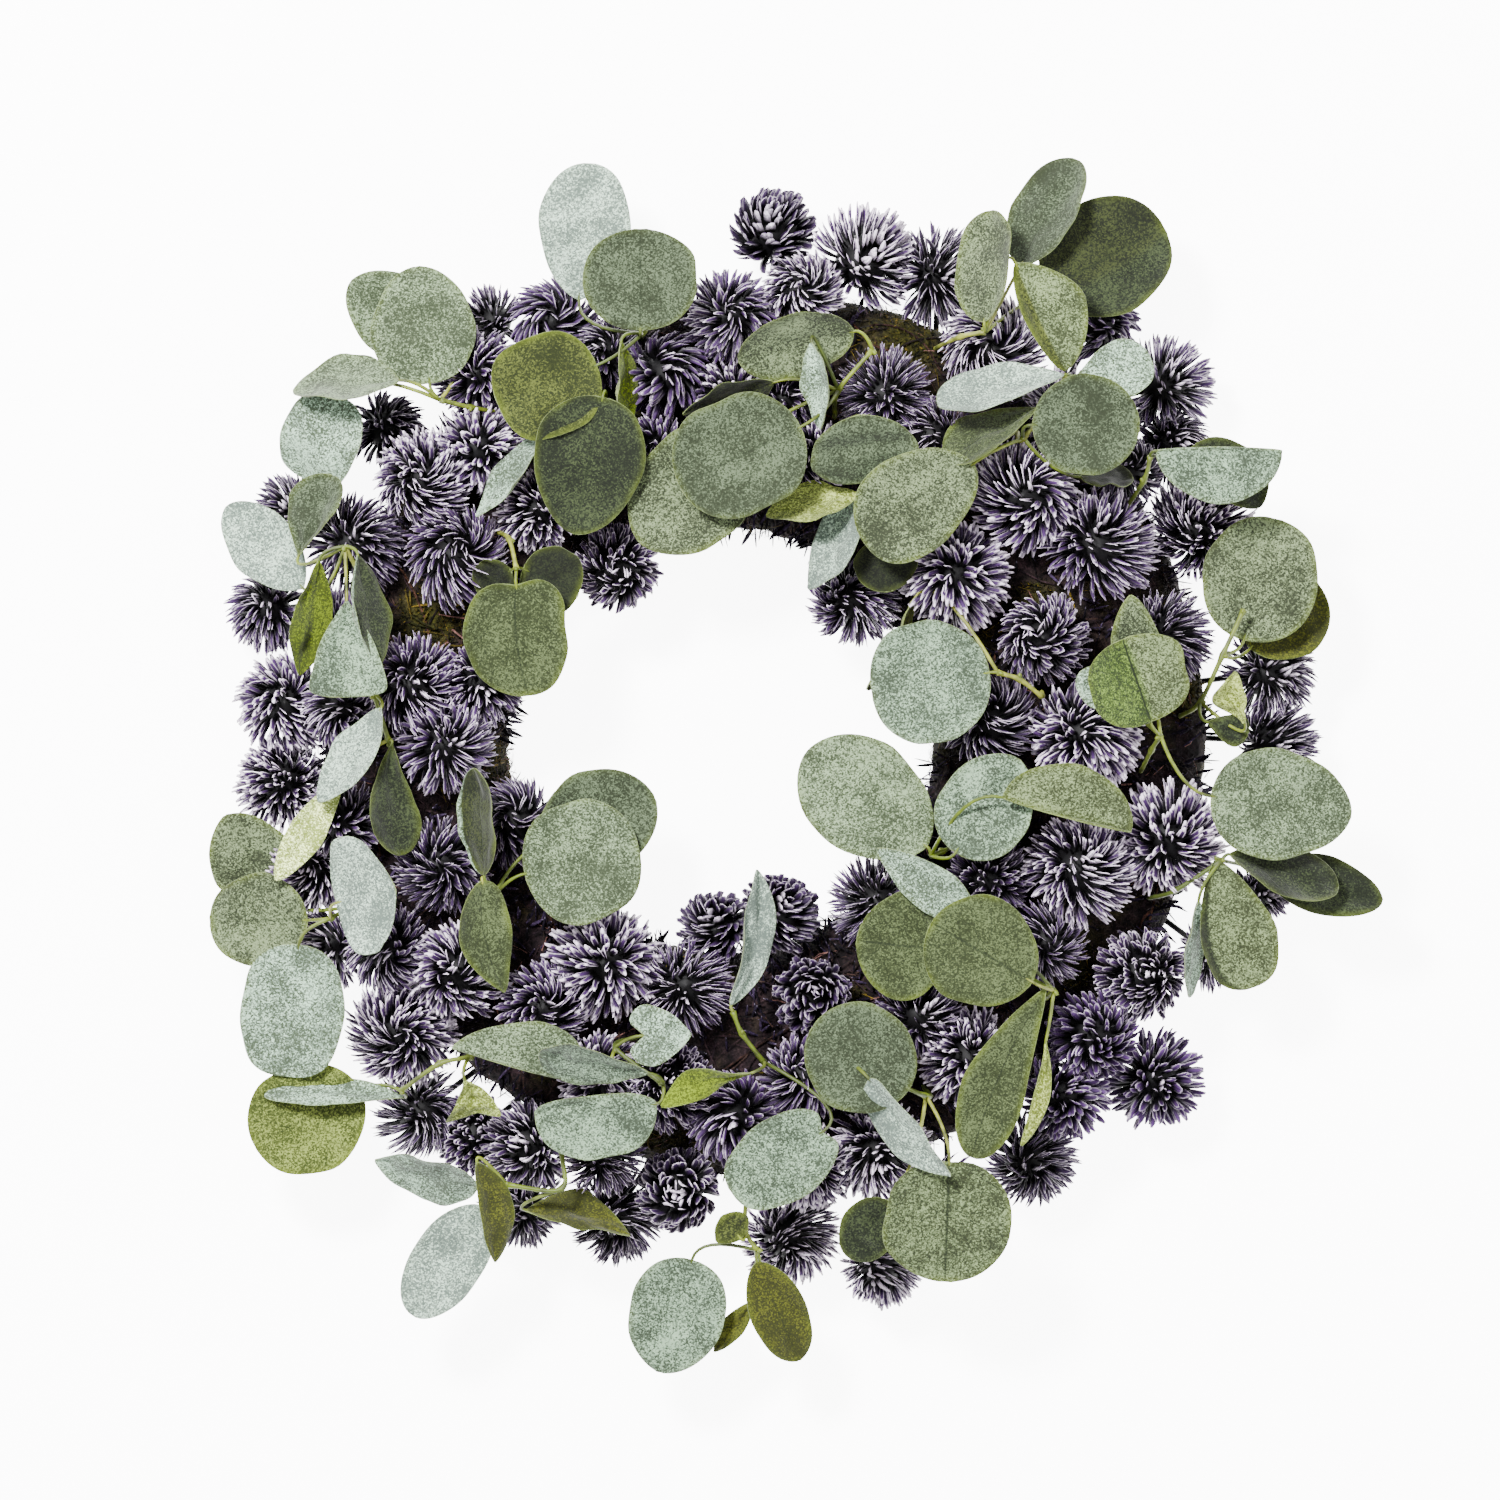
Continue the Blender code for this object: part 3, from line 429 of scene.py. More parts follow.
ring_points, ring_faces, _, ring_colours = ring_surface()
ring_tree = BVHTree.FromPolygons(ring_points, ring_faces)
ring_parts = [(ring_points, ring_faces, 0, ring_colours), ring_fibres(random.Random(11))]
ring_parts += [moss_tufts(random.Random(12)), loose_bracts(random.Random(13))] + ring_twigs(random.Random(14))
make_piece("moss_covered_ring", "moss_ring_form", ring_parts, [fibre_material])


# Eucalyptus sprays.
# Each is a plastic-coated wire stem with short stalks and round fabric leaves, flocked to look bloomed.
# The stem's foot is pushed into the ring, and the leaves stand over the cone heads at all angles.

STEM_RADIUS = 1.05 * MM
STALK_RADIUS = 0.75 * MM
STEM_RISE = 16 * MM
BLADE_THICKNESS = 0.8 * MM
BLADE_STEPS_LONG = 26
BLADE_STEPS_ACROSS = 18
BORDER_WIDTH = 4.0 * MM
# The blade's hollow as a share of its half width, on leaves that lie flat and on leaves that are turned.
FLAT_CUP = 0.14
TURNED_CUP = 0.22
TURNED_ROLL = 30
WAVE_HEIGHT = 2.6 * MM
MIDRIB_DEPTH = 0.5 * MM
RIM_RIPPLE = 0.09
BUD_RADIUS = 0.85 * MM
# A bud's length in mm, from and to, and how many of the joints have one.
BUD_LENGTHS = (2.2, 3.4)
BUD_SHARE = 0.7
STALK_STEPS = 8
# Each tone's cloth and bloom colours, how dark its veins are and how yellow its border is.
TONES = {
    "mint": ("#5C6A61", "#90A393", 0.15, 0.1), "pale": ("#424E3D", "#849C87", 0.25, 0.2),
    "sage": ("#313A27", "#647458", 0.35, 0.3), "green_sage": ("#272D1C", "#596548", 0.5, 0.5),
    "olive_sage": ("#2D341D", "#5E6B48", 0.5, 0.5), "olive": ("#1D2406", "#3D441A", 0.5, 0.7),
    "dark_olive": ("#272A06", "#3E410B", 0.7, 0.3), "deep": ("#0B1104", "#272F1A", 1.0, 0.4),
    "mid_sage": ("#242B1A", "#414C38", 0.6, 0.3), "mid_green": ("#222A10", "#3F492C", 1.0, 0.6),
    "dark_sage": ("#0E1305", "#252B12", 0.8, 0.4), "yellow_green": ("#364103", "#556507", 0.4, 0.3),
    "cream": ("#56621C", "#8E9A50", 0.3, 0.2), "veined_sage": ("#2A311B", "#586544", 1.3, 0.4),
    "pale_sage": ("#353F31", "#6A7F68", 0.25, 0.2), "veined": ("#263510", "#506528", 1.6, 0.5),
    # painted_light_olive is the olive made lighter to stand in for light where a cast shadow falls: painted
    # light.
    "light_cream": ("#7E8E40", "#C4D28C", 0.3, 0.2), "painted_light_olive": ("#303B0C", "#5E692F", 0.5, 0.7),
    "shade_green": ("#060902", "#161B0B", 1.0, 0.4),
}
UNDERSIDE = ("#465015", "#78853D", 0.6, 0.5)
PALE_UNDERSIDE = ("#404D2C", "#808E70", 0.5, 0.3)
STEM_TONES = ("#5E7006", "#78861A", "#445313", "#697721", "#9BA03D")
STEM_SHADE = "#37400E"
BUD_TONE = "#6E7C18"
RIM_CLOTH = "#5C6A10"
CUT_RIM = "#86955F"
VEIN_TONE = "#121B08"
# A leaf's form: where along its length it is widest, then how full its base and its tip are, from 1 for a
# straight taper over 2 for a round end to 3 for a nearly square one.
FORMS = {
    "round": (0.50, 2.0, 2.0), "square": (0.51, 2.25, 2.4), "lens": (0.50, 1.35, 1.35),
    "oval": (0.50, 1.7, 1.8), "drop": (0.62, 1.25, 2.2), "point": (0.44, 2.1, 1.35),
    "bell": (0.90, 1.12, 3.6), "heart": (0.36, 2.6, 1.35), "egg": (0.42, 2.2, 1.8),
    "long": (0.55, 1.3, 1.7), "kidney": (0.42, 2.5, 2.0), "pear": (0.54, 1.6, 2.1),
    "block": (0.50, 2.8, 3.0),
}


def leaf(tone, joint, base, tip, width, form="round", roll=0, arch=0.0, halves=(1.0, 1.0), **more):
    """One leaf: its tone, the stem joint that its stalk leaves, its two ends, its width and its turn.

    The ends are (x, y, height), and halves are the shares of the width on its two sides. It may also have a
    notch at its base, a sideways bend, a twist in degrees, a fold of both sides upwards, a curl of its tip,
    and a flap: the side (1 is left), where across it starts, how far it turns, and its tone.
    """
    made = dict(tone=tone, joint=joint, base=base, tip=tip, width=width, form=form, roll=roll, arch=arch)
    made.update(halves=halves, notch=0.0, bend=0.0, twist=0.0, fold=0.0, curl=0.0, flap=None)
    made.update(more)
    return made


# Sprays: the stem's foot on the ring, the stem's joints (x, y, height), and the leaves.
SPRAYS = [
    ((500, 412), [(472, 408, 66), (441, 401, 72)], [
        leaf("sage", 1, (430, 384, 66), (416, 266, 56), 104, "egg"),
        leaf("sage", 1, (445, 350, 48), (348, 280, 42), 84, "oval"),
        leaf("sage", 1, (400, 382, 76), (294, 388, 74), 90, "oval", roll=-60, curl=-0.06),
        leaf("pale", 1, (345, 398, 66), (306, 480, 48), 82, "block", roll=-15, arch=0.12),
    ]),
    ((641, 336), [(643, 335, 76)], [
        leaf("mint", 0, (579, 300, 62), (590, 162, 52), 94, "pear"),
        leaf("mid_sage", 0, (641, 333, 86), (641, 233, 90), 114),
        leaf("olive", 0, (598, 368, 88), (500, 408, 90), 106, "square", fold=0.05),
        leaf("yellow_green", 0, (622, 345, 84), (621, 444, 78), 56, "lens", roll=70, bend=0.05),
    ]),
    ((608, 408), [(607, 403, 76)], [
        leaf("deep", 0, (604, 400, 92), (576, 536, 90), 112, "egg"),
        leaf("pale", 0, (541, 432, 80), (478, 518, 78), 56, "lens", roll=-58, bend=0.08),
    ]),
    ((835, 415), [(838, 392, 78), (872, 352, 80)], [
        leaf("green_sage", 1, (853, 334, 84), (738, 362, 88), 78, "oval", roll=38, bend=-0.05),
        leaf("dark_sage", 0, (774, 384, 80), (683, 416, 78), 74, "lens", roll=55),
        leaf("mid_sage", 0, (800, 430, 98), (680, 488, 96), 120),
        leaf("green_sage", 0, (736, 450, 86), (640, 544, 84), 116, "egg"),
        leaf("pale", 0, (811, 346, 92), (820, 432, 94), 42, "lens", roll=-52, bend=0.1, fold=0.2),
    ]),
    ((905, 538), [(890, 520, 74), (872, 494, 80)], [
        leaf("mid_sage", 1, (866, 484, 84), (860, 418, 98), 108, "egg", fold=0.06),
        # This leaf takes the paler cream tone to make up for the shadow that the leaves over it cast: painted
        # light.
        leaf("cream", 1, (858, 496, 78), (766, 517, 80), 66, "lens", roll=-50),
        leaf("mint", 1, (860, 503, 78), (809, 590, 68), 72, "point", roll=-52, bend=0.06),
        leaf("shade_green", 0, (880, 538, 72), (890, 592, 70), 64),
    ]),
    ((938, 346), [(960, 338, 72), (984, 334, 78)], [
        leaf("green_sage", 1, (983, 324, 80), (990, 212, 70), 74, "square", roll=42),
        leaf("mid_sage", 1, (1020, 266, 62), (1077, 158, 52), 78, "oval", roll=35),
        leaf("dark_sage", 1, (1046, 290, 56), (1165, 225, 48), 122, "round", flap=(-1, 0.3, 22, "deep")),
        leaf("olive_sage", 1, (1014, 266, 82), (1064, 373, 80), 94, "oval", halves=(1.0, 0.4),
             flap=(-1, 0.12, 30, "olive")),
    ]),
    ((1018, 432), [(1022, 440, 82), (1066, 377, 84)], [
        leaf("pale", 1, (1072, 388, 80), (1150, 362, 76), 60, "drop", roll=15),
        leaf("mint", 1, (1062, 378, 90), (936, 407, 90), 68, "drop", roll=-52),
        leaf("mid_sage", 0, (1030, 428, 96), (1136, 428, 94), 100),
        leaf("mid_green", 0, (1036, 410, 86), (944, 462, 84), 78, "drop", roll=-52),
        leaf("shade_green", 0, (1080, 478, 74), (1132, 480, 72), 50, roll=55),
        leaf("green_sage", 0, (972, 466, 94), (864, 546, 90), 100, "pear", bend=-0.04),
    ]),
    ((1122, 514), [(1142, 482, 78), (1148, 458, 84)], [
        leaf("pale_sage", 1, (1153, 453, 88), (1279, 453, 84), 104, halves=(0.08, 1.0)),
        leaf("deep", 1, (1178, 462, 76), (1262, 505, 66), 88, halves=(1.0, 0.35)),
    ]),
    ((1183, 715), [(1200, 702, 62), (1222, 655, 66), (1243, 610, 66)], [
        leaf("green_sage", 1, (1244, 640, 58), (1276, 518, 52), 118),
        leaf("dark_olive", 1, (1252, 648, 46), (1318, 580, 42), 96),
        leaf("deep", 0, (1206, 722, 70), (1247, 734, 68), 34, "drop"),
        leaf("cream", 0, (1243, 724, 76), (1232, 672, 82), 36, "lens", roll=20, twist=110, bend=0.2),
    ]),
    ((1142, 770), [(1150, 750, 74), (1158, 736, 84)], [
        leaf("olive_sage", 1, (1147, 722, 90), (1118, 640, 96), 106, "square", flap=(1, -0.12, 22, "veined")),
        leaf("green_sage", 1, (1150, 690, 84), (1128, 596, 86), 50, "point", bend=0.06),
        leaf("sage", 1, (1208, 796, 84), (1350, 814, 70), 110, "egg", fold=0.04),
        leaf("pale", 1, (1120, 705, 82), (1077, 674, 78), 40),
    ]),
    ((1042, 692), [(1040, 696, 76), (1018, 680, 84), (996, 673, 86)], [
        leaf("pale_sage", 2, (988, 673, 86), (871, 692, 78), 122, "square"),
        leaf("dark_olive", 2, (912, 602, 68), (867, 690, 64), 44, "long", roll=66, bend=0.12),
    ]),
    ((950, 848), [(942, 851, 72), (930, 855, 78)], [
        leaf("sage", 1, (926, 846, 80), (806, 752, 68), 112, fold=0.04),
        leaf("pale_sage", 1, (954, 852, 86), (1016, 758, 86), 94, "egg"),
        leaf("olive_sage", 1, (1000, 797, 96), (1128, 831, 94), 100, halves=(1.0, 0.08)),
    ]),
    ((1152, 898), [(1175, 890, 66), (1220, 860, 74)], [
        leaf("deep", 1, (1228, 854, 74), (1337, 890, 68), 62, "long", roll=30),
        leaf("deep", 1, (1262, 870, 62), (1383, 902, 56), 60, "oval", roll=15),
        leaf("olive_sage", 1, (1214, 858, 74), (1252, 988, 60), 80, "drop", flap=(-1, 0.7, 38, "deep")),
        leaf("pale", 1, (1197, 902, 72), (1190, 997, 62), 44, "oval", roll=60, bend=-0.06),
    ]),
    ((1040, 1000), [(1045, 996, 74), (1052, 989, 82)], [
        leaf("mid_green", 1, (948, 950, 78), (856, 940, 72), 112, "oval"),
        leaf("mid_green", 1, (1030, 980, 92), (930, 921, 88), 112),
        leaf("mid_green", 1, (1044, 986, 86), (970, 1155, 84), 66, "drop", bend=-0.04),
        leaf("cream", 1, (1044, 1040, 82), (1020, 1144, 78), 17, "long", bend=0.08),
        leaf("pale", 1, (970, 912, 86), (876, 848, 82), 54, "point", roll=30),
    ]),
    ((924, 1088), [(925, 1094, 82), (852, 1062, 86)], [
        leaf("mid_sage", 0, (908, 1086, 94), (812, 1024, 92), 110),
        leaf("mint", 1, (868, 1076, 98), (949, 1172, 98), 50, "point", roll=-40, bend=-0.08),
        leaf("veined_sage", 0, (948, 1154, 88), (944, 1279, 80), 128, notch=0.04),
        leaf("deep", 0, (890, 1200, 76), (848, 1256, 70), 58),
    ]),
    ((757, 1055), [(764, 1061, 74), (742, 1032, 82), (733, 1010, 84)], [
        leaf("mint", 2, (731, 1004, 84), (757, 869, 76), 46, "oval", roll=-48, bend=-0.12),
        leaf("yellow_green", 0, (752, 1070, 92), (662, 1104, 90), 34, "long", roll=20, twist=110, bend=-0.10),
        leaf("pale_sage", 0, (832, 1122, 90), (732, 1190, 88), 84, "square", notch=0.10),
    ]),
    ((754, 1152), [(748, 1188, 62), (745, 1228, 62), (757, 1250, 62)], [
        leaf("pale_sage", 2, (692, 1260, 58), (660, 1374, 50), 98, "egg"),
        leaf("dark_olive", 2, (757, 1262, 60), (799, 1362, 52), 60, "oval", fold=0.1),
        leaf("dark_olive", 2, (752, 1304, 48), (714, 1354, 46), 24, "lens"),
        leaf("olive", 1, (741, 1238, 68), (722, 1215, 68), 40, "oval"),
    ]),
    ((636, 1038), [(616, 1046, 80), (664, 1082, 86)], [
        leaf("pale_sage", 1, (657, 1101, 90), (536, 1112, 86), 100, "square", roll=12, halves=(1.0, 0.3)),
        leaf("pale_sage", 1, (650, 1070, 98), (541, 1051, 96), 62, "drop", roll=50),
        leaf("sage", 0, (585, 1080, 88), (454, 1046, 86), 96, "point", halves=(0.08, 1.0)),
        leaf("pale", 0, (628, 1034, 90), (692, 1032, 90), 62, "heart", notch=0.26, twist=25),
    ]),
    ((565, 1103), [(562, 1150, 66), (562, 1188, 70), (508, 1184, 70)], [
        leaf("dark_olive", 1, (526, 1210, 62), (630, 1236, 56), 58, "lens", roll=50, bend=0.12),
        leaf("dark_olive", 2, (478, 1160, 76), (496, 1261, 68), 40, "lens", roll=25, bend=0.1),
        leaf("pale", 2, (478, 1186, 68), (375, 1160, 62), 72, "point", roll=50),
        leaf("mint", 2, (484, 1206, 66), (412, 1316, 56), 72, "oval"),
    ]),
    ((488, 1048), [(470, 1056, 70), (440, 1063, 74), (402, 1090, 70)], [
        # This leaf's olive is lightened against the shadow that the narrow leaf over it casts: painted light.
        leaf("painted_light_olive", 2, (360, 1090, 54), (253, 1146, 52), 112, fold=0.06),
        leaf("pale", 2, (404, 1097, 64), (264, 1096, 58), 42, "long", roll=-48, bend=-0.04),
        leaf("cream", 0, (466, 1078, 80), (478, 1112, 70), 60, "bell", twist=50, fold=0.3),
    ]),
    ((374, 898), [(352, 906, 54), (332, 918, 72)], [
        leaf("pale", 1, (300, 944, 70), (286, 1077, 58), 102, "square"),
        leaf("green_sage", 1, (308, 920, 64), (209, 922, 54), 94),
        leaf("green_sage", 0, (268, 890, 38), (222, 816, 40), 84, "egg"),
        leaf("mint", 1, (339, 902, 82), (399, 887, 100), 122, "egg", bend=0.04),
    ]),
    ((497, 905), [(494, 897, 76)], [
        leaf("sage", 0, (526, 873, 84), (639, 847, 74), 124),
        leaf("mid_sage", 0, (540, 845, 70), (655, 798, 60), 104, "oval", fold=0.05),
        leaf("mid_green", 0, (484, 880, 86), (506, 991, 82), 60, "point", roll=25, bend=-0.08, twist=20),
        leaf("dark_sage", 0, (486, 874, 86), (476, 768, 86), 62, "oval", roll=52, bend=-0.06,
             flap=(1, 0.86, 60, "pale")),
    ]),
    ((388, 745), [(390, 740, 78), (376, 694, 84)], [
        leaf("mint", 1, (384, 708, 88), (321, 802, 84), 62, "lens", roll=-42, bend=0.08),
        leaf("light_cream", 0, (346, 774, 76), (277, 880, 70), 38, "long"),
        leaf("deep", 0, (394, 742, 80), (402, 855, 78), 62, "drop", roll=38, bend=-0.08),
    ]),
    ((380, 620), [(366, 585, 76), (348, 548, 88)], [
        leaf("yellow_green", 1, (322, 562, 86), (302, 676, 80), 58, "lens", roll=46),
        leaf("deep", 1, (361, 556, 92), (381, 670, 92), 58, "lens", roll=50, flap=(-1, 0.75, 60, "pale")),
        leaf("pale_sage", 1, (350, 602, 90), (352, 698, 96), 78, "bell", fold=0.15),
        leaf("mint", 1, (303, 588, 62), (226, 505, 52), 68, "oval"),
        leaf("mid_sage", 1, (300, 556, 72), (334, 476, 68), 60, "drop", roll=30, bend=0.06),
    ]),
    ((497, 532), [(510, 540, 76), (518, 570, 84)], [
        leaf("mid_green", 1, (517, 580, 86), (530, 696, 78), 102, "kidney", notch=0.05, bend=-0.05),
        leaf("shade_green", 1, (524, 570, 78), (580, 592, 74), 68, "square"),
        leaf("shade_green", 1, (512, 571, 76), (477, 590, 72), 44),
    ]),
]


def stem_part(path, joints, chance):
    """A spray's stem, thicker at its joints, with a coat in one of the stems' greens."""
    tone = linear(chance.choice(STEM_TONES))
    places = smooth_path(path)
    radii = []
    for place in places:
        gap = min((place - joint).length for joint in joints)
        radii.append(STEM_RADIUS * (1 + 0.55 * math.exp(-(gap / (2.0 * MM)) ** 2)))
    points, faces = tube(places, radii)
    return points, faces, 1, {"coat": [(*tone, 1.0)] * len(points)}


def bud_part(joint, chance):
    """A small round bud beside a joint."""
    way = Vector((chance.uniform(-1, 1), chance.uniform(-1, 1), chance.uniform(0.2, 1))).normalized()
    length = chance.uniform(*BUD_LENGTHS) * MM
    shares, sizes = (0.0, 0.3, 0.65, 0.9, 1.0), (0.9, 1.35, 1.3, 0.8, 0.15)
    places = [joint + way * length * share for share in shares]
    points, faces = tube(places, [BUD_RADIUS * size for size in sizes])
    return points, faces, 1, {"coat": [(*linear(BUD_TONE), 1.0)] * len(points)}


def leaf_frame(spec):
    """A leaf's base, tip and long way, with its left and up ways as its roll turns them."""
    base = at(*spec["base"][:2], spec["base"][2] * MM)
    tip = at(*spec["tip"][:2], spec["tip"][2] * MM)
    axis = (tip - base).normalized()
    flat_left = Vector((0, 0, 1)).cross(axis).normalized()
    left = Matrix.Rotation(math.radians(-spec["roll"]), 3, axis) @ flat_left
    return base, tip, axis, left, axis.cross(left)


def stalk_part(spec, joint, tone):
    """A leaf's stalk: it leaves the stem at the joint and runs a little way under the blade."""
    base, tip, axis, _, up = leaf_frame(spec)
    base = base + (tip - base) * spec["notch"] * 0.9
    span = (base - joint).length
    bend = base - axis * 0.4 * span
    places = []
    for step in range(STALK_STEPS + 1):
        t = step / STALK_STEPS
        places.append(joint * (1 - t) ** 2 + bend * 2 * t * (1 - t) + base * t * t)
    places += [base + axis * 1.5 * MM - up * 0.3 * MM, base + axis * 3.5 * MM - up * 0.5 * MM]
    radii = [STALK_RADIUS * (1.25 - 0.35 * step / STALK_STEPS) for step in range(STALK_STEPS + 1)]
    radii += [0.55 * MM, 0.15 * MM]
    points, faces = tube(places, radii, 7)
    return points, faces, 1, {"coat": [(*tone, 1.0)] * len(points)}


def blade_width(spec, share, seed):
    """How wide a blade is there, as a share of its full width."""
    widest, base_fullness, tip_fullness = FORMS[spec["form"]]
    widest += 0.08 * noise.noise(Vector((seed, 3.1, 0.4)))
    fullness = base_fullness if share < widest else tip_fullness
    fullness *= 1 + 0.2 * noise.noise(Vector((seed, 7.7, 0.2)))
    gap = (widest - share) / widest if share < widest else (share - widest) / (1 - widest)
    return max(1 - min(gap, 1.0) ** fullness, 0.0) ** (1 / fullness)


def blade_point(spec, frame_of, share, across, seed):
    """A point of the blade's middle sheet, and its distance from the blade's rim."""
    base, tip, axis, left, up = frame_of
    length, half_width = (tip - base).length, spec["width"] * PIXEL / 2
    ripple = noise.noise(Vector((3.2 * share, 2.0 if across > 0 else -2.0, seed)))
    spread = half_width * blade_width(spec, share, seed) * (1 + RIM_RIPPLE * ripple * abs(across))
    spread *= spec["halves"][0] if across > 0 else spec["halves"][1]
    aside = spread * across
    notch = spec["notch"] * math.exp(-((aside / (0.3 * half_width)) ** 2)) * (1 - share) ** 3
    cup = (FLAT_CUP if abs(spec["roll"]) < TURNED_ROLL else TURNED_CUP) * across * across * spread
    wave = WAVE_HEIGHT * noise.noise(Vector((4.4 * share, across * 1.6, seed + 9)))
    wave *= min(4 * share * (1 - share) + 0.2, 1)
    crease = -MIDRIB_DEPTH * math.exp(-((across / 0.06) ** 2)) * (1 - share)
    rise = spec["arch"] * length * 4 * share * (1 - share) + spec["curl"] * length * share ** 3
    rise += cup + wave + crease + spec["fold"] * abs(aside)
    if spec["flap"]:
        side, line, angle, _ = spec["flap"]
        over = max(side * aside - line * half_width, 0.0)
        rise += over * math.sin(math.radians(angle))
        aside -= side * over * (1 - math.cos(math.radians(angle)))
    aside += spec["bend"] * length * 4 * share * (1 - share)
    turned = Matrix.Rotation(math.radians(spec["twist"]) * (share - 0.5), 3, axis)
    place = base + axis * length * (share + notch) + turned @ (left * aside + up * rise)
    return place, min(spread * (1 - abs(across)), length * min(share, 1 - share))


def blade_tones(spec, side, across):
    """The tone of one face of a blade there."""
    if spec["flap"] and spec["flap"][0] * across > spec["flap"][1] + 0.02:
        return TONES[spec["flap"][3]]
    if side > 0:
        return TONES[spec["tone"]]
    return PALE_UNDERSIDE if spec["tone"] in ("pale", "mint", "sage") else UNDERSIDE


def blade_part(spec, seed, chance):
    """A leaf's blade: two faces that thin out to one rim."""
    frame_of = leaf_frame(spec)
    rows, columns = BLADE_STEPS_LONG, BLADE_STEPS_ACROSS
    sheet = np.zeros((rows + 1, columns + 1, 3))
    borders = np.zeros((rows + 1, columns + 1))
    for row in range(rows + 1):
        share = 0.5 - 0.5 * math.cos(math.pi * row / rows)
        for column in range(columns + 1):
            across = math.sin(math.pi * (column / columns - 0.5))
            place, gap = blade_point(spec, frame_of, share, across, seed)
            sheet[row, column] = place
            borders[row, column] = 1 - min(gap / BORDER_WIDTH, 1)
    normals = np.cross(np.gradient(sheet, axis=0), np.gradient(sheet, axis=1))
    normals /= np.maximum(np.linalg.norm(normals, axis=2, keepdims=True), 1e-12)
    random_share = chance.random()
    points, cloths, blooms, blades, index = [], [], [], [], {}
    for side in (1, -1):
        for row in range(rows + 1):
            share = 0.5 - 0.5 * math.cos(math.pi * row / rows)
            for column in range(columns + 1):
                across = math.sin(math.pi * (column / columns - 0.5))
                rim = row in (0, rows) or column in (0, columns)
                if side < 0 and rim:
                    index[side, row, column] = index[1, row, column]
                    continue
                thick = 0.0 if rim else min(1.0, 3.2 * (1 - abs(across)) + 0.25) * BLADE_THICKNESS / 2
                index[side, row, column] = len(points)
                points.append(tuple(sheet[row, column] + normals[row, column] * side * thick))
                cloth, bloom, veins, border = blade_tones(spec, side, across)
                cloths.append((*linear(cloth), veins))
                blooms.append((*linear(bloom), border))
                blades.append((0.5 + 0.5 * across, share, borders[row, column], random_share))
    faces = []
    for row in range(rows):
        for column in range(columns):
            top = [index[1, row + a, column + b] for a, b in ((0, 0), (1, 0), (1, 1), (0, 1))]
            bottom = [index[-1, row + a, column + b] for a, b in ((0, 0), (0, 1), (1, 1), (1, 0))]
            faces += [tuple(top), tuple(bottom)]
    return points, faces, 0, {"cloth": cloths, "bloom": blooms, "blade": blades}


def stem_path(foot, joints):
    """The stem's path: straight up from a hair above the ring, then through its joints."""
    over = at(*foot, 0.2)
    start = ring_tree.ray_cast(over, Vector((0, 0, -1)))[0] - Vector((0, 0, 0.6 * MM))
    path = [start, start + Vector((0, 0, STEM_RISE))]
    return path + [at(x, y, height * MM) for x, y, height in joints]


